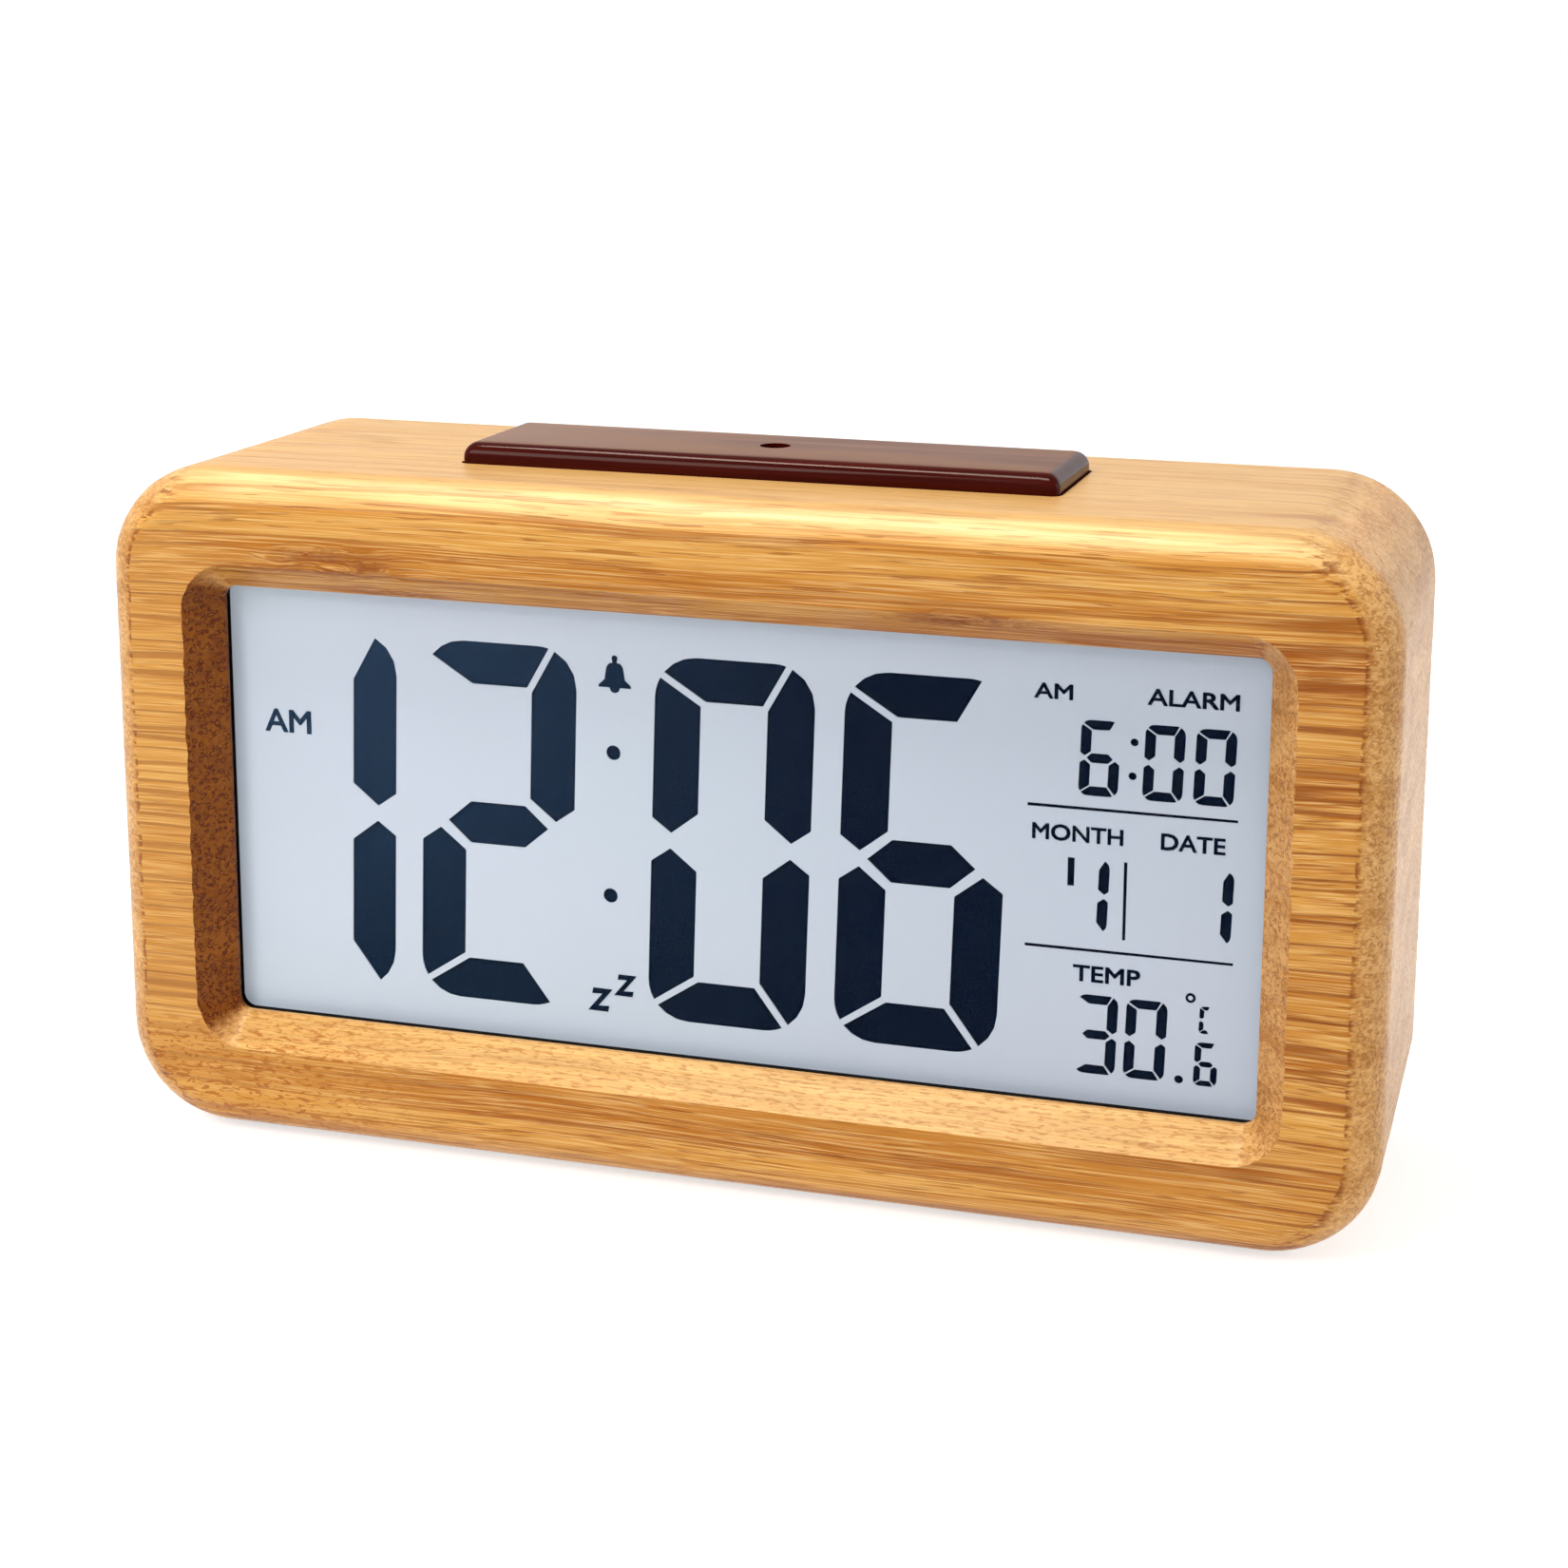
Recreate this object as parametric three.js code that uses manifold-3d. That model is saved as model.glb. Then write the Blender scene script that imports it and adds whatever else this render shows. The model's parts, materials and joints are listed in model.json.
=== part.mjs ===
// Digital alarm clock in a rounded bamboo block.
// Millimetres, +Z up, +X to the right of the display, -Y out of the display.
// The origin lies on the table, under the middle of the clock.

import * as THREE from 'three';
import { mergeVertices } from 'three/addons/utils/BufferGeometryUtils.js';
import Module from 'manifold-3d';

const wasm = await Module();
wasm.setup();

// Driving sizes: case
const CASE_W = 150;
const CASE_H = 80.5;
const CASE_D = 45;
const CASE_CORNER_R = 12.5;
const FRONT_EDGE_R = 5;
const REAR_EDGE_R = 2;
const SIDE_WALL = 8.5;
const TOP_WALL = 6.5;
const POCKET_CORNER_R = 12;

// Driving sizes: window in the case's front, narrowing to a short straight lip
const BEVEL_DEPTH = 4.2;
const BEVEL_SPLAY = 3.3;
const BEVEL_CORNER_R = 6;
const WINDOW_CORNER_R = 2.5;
const LIP_DEPTH = 0.6;

// Driving sizes: clearances
const SEAT_GAP = 0.1;
const SIDE_GAP = 0.3;
const MOVING_GAP = 0.3;
const PIN_GAP = 0.25;

// Driving sizes: display stack, from the window sheet to the main board
const WINDOW_SHEET_T = 0.8;
const WINDOW_SHEET_LAP = 1.5;
const WINDOW_SHEET_CORNER_R = 6;
const GLASS_T = 0.7;
const LAYER_T = 0.2;
const LIGHT_GUIDE_T = 3;
const REFLECTOR_T = 0.3;
const MAIN_BOARD_T = 1.6;
const FRAME_WALL = 3.7;
const LCD_SIDE_LAP = 1;
const LCD_ROW_LAP = 1;
const LCD_CORNER_R = 1;
const CONTACT_LEDGE = 2.35;
const CONTACT_STRIP_END = 6;
const LED_T = 1.4;
const LED_W = 3.2;
const LED_SINK = 0.5;

// Driving sizes: pieces on the back of the main board
const CHIP_W = 12;
const CHIP_T = 1.5;
const CHIP_X = 30;
const CHIP_Z = -8;
const CRYSTAL_R = 1.5;
const CRYSTAL_L = 6;
const CRYSTAL_SPACE = 5;

// Driving sizes: snooze bar and what it presses
const BAR_W = 71.2;
const BAR_L = 18.4;
const BAR_FROM_FRONT = 14.9;
const BAR_PROUD = 2.4;
const BAR_EDGE = 1.8;
const BAR_CORNER_R = 1;
const BAR_WALL = 2.2;
const BAR_HOLE_R = 1.8;
const BAR_LUG_L = 2;
const BAR_LUG_W = 10;
const BAR_LUG_T = 1.5;
const BAR_POST_R = 3;
const BAR_NUB_R = 1.3;
const BAR_NUB_L = 1;
const BAR_SPRING_X = 26;
const BAR_SPRING_R = 2;
const BAR_SPRING_WIRE_R = 0.25;
const BAR_SPRING_L = 4.2;
const BAR_SPRING_TURNS = 3;
const SNOOZE_BOARD_W = 60;
const SNOOZE_BOARD_L = 12;
const THIN_BOARD_T = 1.2;
const THIN_BOARD_CORNER_R = 1;
const SNOOZE_SWITCH_X = 14;
const SNOOZE_STEM_L = 1.5;
const LIGHT_SENSOR_R = 2.5;
const LIGHT_SENSOR_T = 2.2;

// Driving sizes: switches, all of one kind
const SWITCH_W = 6;
const SWITCH_T = 3.6;
const BODY_CORNER_R = 0.4;
const SWITCH_BORE_R = 1.7;
const SWITCH_BORE_DEPTH = 1.5;
const STEM_R = 1.4;
const STEM_SINK = 0.5;

// Driving sizes: rear cover
const COVER_T = 2.2;
const COVER_INSET = 1;
const COVER_LEDGE = 2.8;
const REBATE_CORNER_R = 8;
const COVER_CHAMFER = 0.5;
const POST_R = 2.2;
const POST_PIN_R = 1;
const POST_FROM_SIDE = 8.5;
const POST_FROM_TOP = 5.75;
const ARM_X = 20;
const ARM_W = 3;
const ARM_T = 3;
const BOSS_R = 1.6;
const BOARD_PIN_R = 0.8;
const BOARD_PIN_PROUD = 0.7;
const SCOOP_W = 14;
const SCOOP_H = 4;
const SCOOP_DEPTH = 1.4;

// Driving sizes: cover screws
const SCREW_WALL = 2.5;
const SCREW_HEAD_R = 2.2;
const SCREW_HEAD_T = 1.2;
const SCREW_R = 1.2;
const SCREW_L = 9;
const SCREW_TIP_L = 1.2;
const SCREW_TIP_CUT = 1.8;
const SCREW_SLOT_W = 0.6;
const SCREW_SLOT_L = 2.6;
const SCREW_SLOT_DEPTH = 0.7;

// Driving sizes: row of buttons with its slide switch, vents and sensor
const KEY_SPACE = 3.9;
const KEY_BOARD_END = 16.2;
const BOSS_FROM_KEY = 8.8;
const KEY_BOARD_H = 8;
const KEY_BOARD_CLEAR = 0.5;
const BUTTON_W = 8;
const BUTTON_H = 5.4;
const BUTTON_PROUD = 0.7;
const BUTTON_EDGE = 0.6;
const BUTTON_FLANGE = 0.8;
const BUTTON_FLANGE_T = 1;
const PLUNGER_L = 3;
const SLIDE_FROM_BOSS = 9.2;
const SLIDE_BODY_W = 9;
const SLIDE_BODY_H = 4.4;
const SLIDE_KNOB_W = 3.4;
const SLIDE_KNOB_H = 3.6;
const SLIDE_TRAVEL = 3;
const SLIDE_CORNER_R = 0.5;
const SLIDE_GRIP_W = 0.34;
const SLIDE_GRIP_DEPTH = 0.28;
const SLIDE_FLANGE = 1.4;
const SLIDE_FLANGE_T = 0.8;
const SLIDE_FOOT_W = 2.4;
const SLIDE_FOOT_T = 1.2;
const SLIDE_GROOVE_DEPTH = 1.3;
const SLIDE_FOOT_SINK = 0.8;
const SENSOR_FROM_BOSS = 10.2;
const SENSOR_R = 1.4;
const SENSOR_L = 5;
const VENT_W = 12;
const VENT_H = 1.2;
const VENT_PITCH = 2.6;
const VENT_COUNT = 4;

// Driving sizes: buzzer
const BUZZER_R = 11;
const BUZZER_T = 4.5;
const BUZZER_FROM_SIDE = 20;
const BUZZER_Z = -13;
const BUZZER_RING_WALL = 1.5;
const BUZZER_RING_H = 4;
const SOUND_HOLE_R = 0.9;
const SOUND_CIRCLE_R = 5;
const SOUND_HOLES = 6;

// Driving sizes: battery bay, cells of size AAA, contacts and door
const CELL_R = 5.2;
const CELL_L = 44.5;
const CELL_NUB_R = 1.9;
const CELL_NUB_L = 1.2;
const CELL_COUNT = 3;
const CELL_SPACE = 0.6;
const CELL_GAP = 0.4;
const CELL_EDGE = 0.4;
const BAY_WALL = 1.5;
const BAY_CORNER_R = 0.3;
const BAY_END_GAP = 0.5;
const BAY_ABOVE_POCKET = 2.2;
const BAY_RIB_T = 0.8;
const BAY_RIB_H = 3;
const BAY_RIB_END = 8;
const CONTACT_T = 0.4;
const CONTACT_W = 8;
const CONTACT_DIMPLE_R = 2.4;
const CONTACT_SPRING_L = 5;
const CONTACT_SPRING_BASE_R = 2.9;
const CONTACT_SPRING_TIP_R = 2;
const CONTACT_SPRING_WIRE_R = 0.3;
const CONTACT_SPRING_TURNS = 3;
const DOOR_T = 1.6;
const DOOR_LAP = 1;
const DOOR_CORNER_R = 1.5;
const DOOR_TAB_X = 13;
const DOOR_TAB_W = 5;
const DOOR_TAB_T = 0.8;
const DOOR_TAB_DROP = 0.8;
const DOOR_TAB_ROOM = 2;
const DOOR_TONGUE_W = 12;
const DOOR_TONGUE_L = 7;
const DOOR_TONGUE_SLOT = 0.8;
const DOOR_GRIP_DEPTH = 0.5;
const DOOR_GRIP_H = 0.8;
const DOOR_GRIP_COUNT = 3;

// Driving sizes: feet
const FOOT_R = 4;
const FOOT_PROUD = 0.8;
const FOOT_SUNK = 0.8;
const FOOT_FROM_SIDE = 17;
const FOOT_FROM_FRONT = 9.5;
const FOOT_EDGE = 0.4;

// Driving sizes: leads between the boards
const LEAD_T = 0.5;
const BOARD_RIBBON_W = 8;
const BOARD_RIBBON_FROM_BOSS = 8.2;
const SNOOZE_RIBBON_W = 6;
const SNOOZE_RIBBON_X = 6;
const POWER_LEAD_W = 3;
const POWER_LEAD_X = 18;

// Driving sizes: time on the display, from the window's upper left corner
const SLANT = 0.03;
const BIG_DIGIT_W = 19;
const BIG_DIGIT_H = 43.4;
const BIG_DIGIT_STROKE = 5.55;
const BIG_DIGIT_GAP = 0.75;
const BIG_DIGIT_SPACE = 3.4;
const TIME_LEFT = 1.75;
const TIME_ABOVE = 5.17;
const TIME_BELOW = 3.63;
const COLON_SPACE = 0.85;
const COLON_TO_MINUTES = 5.2;
const COLON_DROP = 11.88;
const COLON_STEP = 17.1;
const COLON_R = 0.9;

// Driving sizes: panel beside the time, with two rules across it
const PANEL_SPACE = 1.85;
const PANEL_W = 23.1;
const PANEL_RIGHT = 3.45;
const RULE_T = 0.3;
const RULE_DROP = 1.4;
const SMALL_STROKE = 1.1;
const SMALL_GAP = 0.22;
const SMALL_DOT_R = 0.4;

// Driving sizes: alarm time, date and temperature, from the panel's left edge
const ALARM_DIGIT_W = 4.3;
const ALARM_DIGIT_H = 8.45;
const ALARM_SPACE = 1.25;
const ALARM_LEFT = 5.85;
const ALARM_TOP = 8.8;
const ALARM_COLON_SPACE = 1.5;
const ALARM_COLON_DROP = 2.1;
const ALARM_COLON_STEP = 3.8;
const DATE_DIGIT_H = 8.3;
const DATE_DROP = 5.85;
const MONTH_LEFT = 5;
const TICK_LEFT = 4.65;
const TICK_W = 0.7;
const TICK_H = 3.2;
const DATE_RULE_LEFT = 10.9;
const DATE_RULE_H = 8.9;
const DAY_LEFT = 18.65;
const LOWER_RULE_DROP = 2;
const TEMP_DIGIT_W = 4.5;
const TEMP_DIGIT_H = 9.15;
const TEMP_SPACE = 1;
const TEMP_LEFT = 6.15;
const TEMP_DROP = 5.3;
const POINT_R = 0.45;
const TENTH_W = 2.5;
const TENTH_H = 5;
const TENTH_STROKE = 0.65;
const TENTH_GAP = 0.16;
const TENTH_SPACE = 1.3;
const DEGREE_LEFT = 18.65;
const DEGREE_RISE = 0.9;
const UNIT_W = 1.3;
const UNIT_H = 3.1;
const UNIT_STROKE = 0.42;
const UNIT_GAP = 0.12;
const UNIT_LEFT = 19.75;

// Driving sizes: how far a cut runs past the face that it opens
const PAST = 1;

// Places and sizes that follow from the driving sizes
const frontY = -CASE_D / 2;
const rearY = CASE_D / 2;
const caseTopZ = CASE_H / 2;
const caseBottomZ = -CASE_H / 2;
const pocketFloorY = frontY + BEVEL_DEPTH + LIP_DEPTH;
const pocket = {
  halfX: CASE_W / 2 - SIDE_WALL,
  halfZ: CASE_H / 2 - TOP_WALL,
  r: POCKET_CORNER_R,
  arcSteps: 8,
};
const frameOuter = inset(pocket, SIDE_GAP);
const lcd = {
  halfX: frameOuter.halfX - FRAME_WALL - SIDE_GAP,
  halfZ: frameOuter.halfZ - FRAME_WALL - SIDE_GAP,
  r: LCD_CORNER_R,
  arcSteps: 2,
};
const lcdRear = { ...lcd, halfZ: lcd.halfZ - CONTACT_LEDGE };
const windowRect = {
  halfX: lcd.halfX - LCD_SIDE_LAP,
  halfZ: lcdRear.halfZ - LCD_ROW_LAP,
  r: WINDOW_CORNER_R,
  arcSteps: 4,
};
const windowSheet = {
  halfX: lcd.halfX + WINDOW_SHEET_LAP,
  halfZ: lcd.halfZ + WINDOW_SHEET_LAP,
  r: WINDOW_SHEET_CORNER_R,
  arcSteps: 4,
};

const windowSheetY = pocketFloorY + SEAT_GAP;
const frontGlassY = windowSheetY + WINDOW_SHEET_T + SEAT_GAP;
const maskY = frontGlassY + GLASS_T + SEAT_GAP;
const filmY = maskY + LAYER_T + SEAT_GAP;
const rearGlassY = filmY + LAYER_T + SEAT_GAP;
const lightGuideY = rearGlassY + GLASS_T + SEAT_GAP;
const reflectorY = lightGuideY + LIGHT_GUIDE_T + SEAT_GAP;
const mainBoardY = reflectorY + REFLECTOR_T + SEAT_GAP;
const mainBoardBackY = mainBoardY + MAIN_BOARD_T;

const pocketTopZ = pocket.halfZ;
const barY = frontY + BAR_FROM_FRONT + BAR_L / 2;
const barTopZ = caseTopZ + BAR_PROUD;
const barBottomZ = pocketTopZ - SEAT_GAP - BAR_LUG_T;
const snoozeBoardTopZ = barBottomZ - BAR_SPRING_L - 2 * SEAT_GAP;
const snoozeBoardBottomZ = snoozeBoardTopZ - THIN_BOARD_T;
const snoozeStemZ = snoozeBoardTopZ + SEAT_GAP + SWITCH_T - STEM_SINK;
const switchPostZ = snoozeStemZ + SNOOZE_STEM_L + SEAT_GAP;
const armTopZ = snoozeBoardBottomZ - SEAT_GAP;
const armBottomZ = armTopZ - ARM_T;
const barRect = { halfX: BAR_W / 2, halfZ: BAR_L / 2, r: BAR_CORNER_R, arcSteps: 3 };

const coverOuterY = rearY - COVER_INSET;
const coverInnerY = coverOuterY - COVER_T;
const rebate = {
  halfX: pocket.halfX + COVER_LEDGE,
  halfZ: pocket.halfZ + COVER_LEDGE,
  r: REBATE_CORNER_R,
  arcSteps: 6,
};
const coverRect = inset(rebate, SIDE_GAP);
const screwOffset = (POCKET_CORNER_R + SCREW_WALL) * Math.SQRT1_2;
const screwX = pocket.halfX - POCKET_CORNER_R + screwOffset;
const screwZ = pocket.halfZ - POCKET_CORNER_R + screwOffset;
const postX = pocket.halfX - POST_FROM_SIDE;
const postZ = pocket.halfZ - POST_FROM_TOP;

const keyRowZ = armBottomZ - KEY_BOARD_CLEAR - KEY_BOARD_H / 2;
const buttonFlangeY = coverInnerY - SEAT_GAP - BUTTON_FLANGE_T;
const buttonOuterY = coverOuterY + BUTTON_PROUD;
const plungerTipY = buttonFlangeY - PLUNGER_L;
const switchTopY = plungerTipY + STEM_SINK;
const keyBoardBackY = switchTopY - SWITCH_T - SEAT_GAP;
const keyBoardFrontY = keyBoardBackY - THIN_BOARD_T;
const buttonNames = ['mode', 'set', 'up', 'down', 'alarm'];
const keyPitch = BUTTON_W + 2 * BUTTON_FLANGE + KEY_SPACE;
const buttonX = buttonNames.map((name, i) => (i - (buttonNames.length - 1) / 2) * keyPitch);
const endBossX = buttonX[buttonX.length - 1] + BOSS_FROM_KEY;
const bossX = [-endBossX, keyPitch / 2, endBossX];
const keyBoardHalfW = endBossX + KEY_BOARD_END;
const slideX = -endBossX - SLIDE_FROM_BOSS;
const slideRestX = slideX - SLIDE_TRAVEL / 2;
const slideFlangeY = coverInnerY - SEAT_GAP - SLIDE_FLANGE_T;
const sensorX = endBossX + SENSOR_FROM_BOSS;
const boardRibbonX = endBossX + BOARD_RIBBON_FROM_BOSS;
const buzzerX = -pocket.halfX + BUZZER_FROM_SIDE;

const doorInnerY = coverOuterY - DOOR_T;
const cellPitch = 2 * CELL_R + CELL_SPACE;
const cellAxisY = doorInnerY - CELL_GAP - CELL_R;
const bayFloorY = cellAxisY - CELL_R - CELL_GAP;
const springRoom = CONTACT_SPRING_L + CONTACT_T;
const bayHalfX = (CELL_L + springRoom + CONTACT_T + 4 * SEAT_GAP) / 2;
const bayBottomZ = -pocket.halfZ + BAY_ABOVE_POCKET;
const bayHeight = (CELL_COUNT - 1) * cellPitch + 2 * CELL_R + 2 * BAY_END_GAP;
const bayTopZ = bayBottomZ + bayHeight;
const bayMidZ = (bayBottomZ + bayTopZ) / 2;
const bay = { halfX: bayHalfX, halfZ: bayHeight / 2, r: BAY_CORNER_R, z: bayMidZ, arcSteps: 1 };
const doorSeat = {
  halfX: bay.halfX + DOOR_LAP,
  halfZ: bay.halfZ + DOOR_LAP,
  r: DOOR_CORNER_R,
  z: bayMidZ,
  arcSteps: 3,
};
const doorRect = inset(doorSeat, SIDE_GAP);
const hingeZ = doorSeat.z - doorSeat.halfZ;
const tabToeY = coverInnerY - SIDE_GAP - DOOR_TAB_T;
const cellZ = Array.from({ length: CELL_COUNT }, (_, i) => bayBottomZ + BAY_END_GAP + CELL_R + i * cellPitch);

// A rectangle shrunk by the same amount on all sides, corners included
function inset(rect, by) {
  const smallestR = 0.3;
  return {
    ...rect,
    halfX: rect.halfX - by,
    halfZ: rect.halfZ - by,
    r: Math.max(rect.r - by, smallestR),
  };
}

// Counter-clockwise points of a rectangle with round corners
function outline(rect) {
  const { halfX, halfZ, r, arcSteps = 4, x = 0, z = 0 } = rect;
  const corners = [[1, 1], [-1, 1], [-1, -1], [1, -1]];
  return corners.flatMap(([sideX, sideZ], quarter) => Array.from({ length: arcSteps + 1 }, (_, k) => {
    const angle = (quarter + k / arcSteps) * Math.PI / 2;
    const centreX = x + sideX * (halfX - r);
    const centreZ = z + sideZ * (halfZ - r);
    return [centreX + r * Math.cos(angle), centreZ + r * Math.sin(angle)];
  }));
}

// A closed body through sections of equal point count, stacked along Y or Z
function loft(sections, axis) {
  const alongY = axis === 'y';
  const rows = sections.map((section) => outline(section.rect).map(([u, v]) => (
    alongY ? [u, section.at, v] : [u, v, section.at])));
  const count = rows[0].length;
  const centre = (row) => row[0].map((_, i) => row.reduce((sum, point) => sum + point[i], 0) / count);
  const positions = [...rows, [centre(rows[0])], [centre(rows[rows.length - 1])]].flat(2);
  const firstCentre = rows.length * count;
  const lastRow = (rows.length - 1) * count;
  const triangles = [];
  for (let k = 0; k < count; k += 1) {
    const next = (k + 1) % count;
    for (let row = 0; row < rows.length - 1; row += 1) {
      const low = row * count;
      const high = low + count;
      triangles.push([low + k, low + next, high + next], [low + k, high + next, high + k]);
    }
    triangles.push([firstCentre, next, k], [firstCentre + 1, lastRow + k, lastRow + next]);
  }
  const geometry = new THREE.BufferGeometry();
  geometry.setAttribute('position', new THREE.Float32BufferAttribute(positions, 3));
  geometry.setIndex(triangles.flatMap(([a, b, c]) => (alongY ? [a, c, b] : [a, b, c])));
  return solid(geometry);
}

function plateY(rect, y0, y1) {
  return loft([{ at: y0, rect }, { at: y1, rect }], 'y');
}

function plateZ(rect, z0, z1) {
  return loft([{ at: z0, rect }, { at: z1, rect }], 'z');
}

function block(x0, x1, y0, y1, z0, z1) {
  const geometry = new THREE.BoxGeometry(x1 - x0, y1 - y0, z1 - z0);
  geometry.translate((x0 + x1) / 2, (y0 + y1) / 2, (z0 + z1) / 2);
  return solid(geometry);
}

function rodY(r, y0, y1, x = 0, z = 0, sides = 20) {
  const geometry = new THREE.CylinderGeometry(r, r, y1 - y0, sides);
  geometry.translate(x, (y0 + y1) / 2, z);
  return solid(geometry);
}

function rodZ(r, z0, z1, x = 0, y = 0, sides = 20) {
  const geometry = new THREE.CylinderGeometry(r, r, z1 - z0, sides);
  geometry.rotateX(Math.PI / 2);
  geometry.translate(x, y, (z0 + z1) / 2);
  return solid(geometry);
}

// A turned body about Y from [radius, y] pairs that start and end on the axis
function turned(profile, sides) {
  const points = profile.map(([radius, y]) => new THREE.Vector2(radius, y));
  return new THREE.LatheGeometry(points, sides);
}

// From a closed three.js geometry to a solid for joins and cuts
function solid(geometry) {
  const bare = geometry.clone();
  bare.deleteAttribute('normal');
  bare.deleteAttribute('uv');
  const merged = mergeVertices(bare, 1e-5);
  return new wasm.Manifold(new wasm.Mesh({
    numProp: 3,
    vertProperties: new Float32Array(merged.attributes.position.array),
    triVerts: new Uint32Array(merged.index.array),
  }));
}

function joined(...bodies) {
  return bodies.reduce((whole, body) => whole.add(body));
}

function cut(body, ...tools) {
  return tools.reduce((rest, tool) => rest.subtract(tool), body);
}

function geometryOf(body) {
  const { vertProperties, triVerts } = body.getMesh();
  const geometry = new THREE.BufferGeometry();
  geometry.setAttribute('position', new THREE.Float32BufferAttribute(vertProperties, 3));
  geometry.setIndex(Array.from(triVerts));
  geometry.computeVertexNormals();
  return geometry;
}

// Signs of the four corners, for pieces that stand at all of them
const fourCorners = [[-1, -1], [1, -1], [-1, 1], [1, 1]];

// A wire wound about Z from z = 0 to length, with short straight ends
function springWire(label, { baseR, tipR, wireR, turns, length }) {
  const stepsPerTurn = 8;
  const sides = 5;
  const stub = 2 * wireR;
  const steps = turns * stepsPerTurn;
  const place = (share, z) => {
    const angle = share * turns * 2 * Math.PI;
    const radius = baseR + (tipR - baseR) * share;
    return new THREE.Vector3(radius * Math.cos(angle), radius * Math.sin(angle), z);
  };
  const centres = [place(0, 0)];
  for (let i = 0; i <= steps; i += 1) {
    centres.push(place(i / steps, stub + (length - 2 * stub) * i / steps));
  }
  centres.push(place(1, length));

  let leastGap = Infinity;
  centres.forEach((a, i) => centres.slice(i + stepsPerTurn / 2).forEach((b) => {
    leastGap = Math.min(leastGap, a.distanceTo(b) - 2 * wireR);
  }));
  console.log(`${label}: least gap of the wire to itself ${leastGap.toFixed(2)} mm`);

  const up = new THREE.Vector3(0, 0, 1);
  const positions = centres.flatMap((centre, i) => {
    const before = centres[Math.max(i - 1, 0)];
    const after = centres[Math.min(i + 1, centres.length - 1)];
    const isEnd = i === 0 || i === centres.length - 1;
    const tangent = isEnd ? up.clone() : after.clone().sub(before).normalize();
    const radial = new THREE.Vector3(centre.x, centre.y, 0).normalize();
    const side = tangent.clone().cross(radial).normalize();
    const out = side.clone().cross(tangent);
    return Array.from({ length: sides }, (_, k) => {
      const angle = 2 * Math.PI * k / sides;
      return centre.clone().addScaledVector(out, wireR * Math.cos(angle))
        .addScaledVector(side, wireR * Math.sin(angle)).toArray();
    }).flat();
  });
  const last = (centres.length - 1) * sides;
  const triangles = [];
  for (let k = 0; k < sides; k += 1) {
    const next = (k + 1) % sides;
    for (let row = 0; row < last; row += sides) {
      triangles.push(row + k, row + next, row + sides + next);
      triangles.push(row + k, row + sides + next, row + sides + k);
    }
    if (k > 0 && k < sides - 1) {
      triangles.push(0, k + 1, k, last, last + k, last + k + 1);
    }
  }
  const geometry = new THREE.BufferGeometry();
  geometry.setAttribute('position', new THREE.Float32BufferAttribute(positions, 3));
  geometry.setIndex(triangles);
  return solid(geometry);
}

// A flat lead of even thickness along a curve in the Y-Z plane, centred at x
function flatLead(curve, x, width) {
  const steps = 14;
  const edge = (side) => Array.from({ length: steps + 1 }, (_, i) => {
    const point = curve.getPoint(i / steps);
    const tangent = curve.getTangent(i / steps);
    const off = side * LEAD_T / 2;
    return new THREE.Vector2(point.x - off * tangent.y, point.y + off * tangent.x);
  });
  const shape = new THREE.Shape([...edge(-1), ...edge(1).reverse()]);
  const geometry = new THREE.ExtrudeGeometry(shape, { depth: width, bevelEnabled: false });
  const axes = new THREE.Matrix4().makeBasis(
    new THREE.Vector3(0, 1, 0), new THREE.Vector3(0, 0, 1), new THREE.Vector3(1, 0, 0));
  geometry.applyMatrix4(axes);
  geometry.translate(x - width / 2, 0, 0);
  return solid(geometry);
}

// Case: block with round corners and edges, window, pocket, rebate, slot and holes
function makeCase() {
  const body = { halfX: CASE_W / 2, halfZ: CASE_H / 2, r: CASE_CORNER_R, arcSteps: 8 };
  const frontSteps = 6;
  const rearSteps = 3;
  const sections = [];
  for (let i = 0; i <= frontSteps; i += 1) {
    const angle = Math.PI / 2 * i / frontSteps;
    const by = FRONT_EDGE_R * (1 - Math.sin(angle));
    sections.push({ at: frontY + FRONT_EDGE_R * (1 - Math.cos(angle)), rect: inset(body, by) });
  }
  for (let i = 0; i <= rearSteps; i += 1) {
    const angle = Math.PI / 2 * i / rearSteps;
    const by = REAR_EDGE_R * (1 - Math.cos(angle));
    sections.push({ at: rearY - REAR_EDGE_R * (1 - Math.sin(angle)), rect: inset(body, by) });
  }
  const mouth = {
    halfX: windowRect.halfX + BEVEL_SPLAY,
    halfZ: windowRect.halfZ + BEVEL_SPLAY,
    r: BEVEL_CORNER_R,
    arcSteps: windowRect.arcSteps,
  };
  const windowCut = loft([
    { at: frontY - PAST, rect: mouth },
    { at: frontY, rect: mouth },
    { at: frontY + BEVEL_DEPTH, rect: windowRect },
    { at: pocketFloorY + PAST, rect: windowRect },
  ], 'y');
  const slot = { ...inset(barRect, -MOVING_GAP), z: barY };
  const feet = fourCorners.map(([sideX, sideY]) => rodZ(FOOT_R + MOVING_GAP, caseBottomZ - PAST,
    caseBottomZ + FOOT_SUNK + SEAT_GAP, sideX * footX, sideY * footY));
  const screwHoles = fourCorners.map(([sideX, sideZ]) => rodY(SCREW_R + PIN_GAP,
    coverInnerY - SCREW_L, coverInnerY + PAST, sideX * screwX, sideZ * screwZ, 12));
  return cut(loft(sections, 'y'), windowCut,
    plateY(pocket, pocketFloorY, rearY + PAST),
    plateY(rebate, coverInnerY - SEAT_GAP, rearY + PAST),
    plateZ(slot, pocketTopZ - PAST, caseTopZ + PAST),
    ...feet, ...screwHoles);
}

const footX = CASE_W / 2 - FOOT_FROM_SIDE;
const footY = CASE_D / 2 - FOOT_FROM_FRONT;

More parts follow.
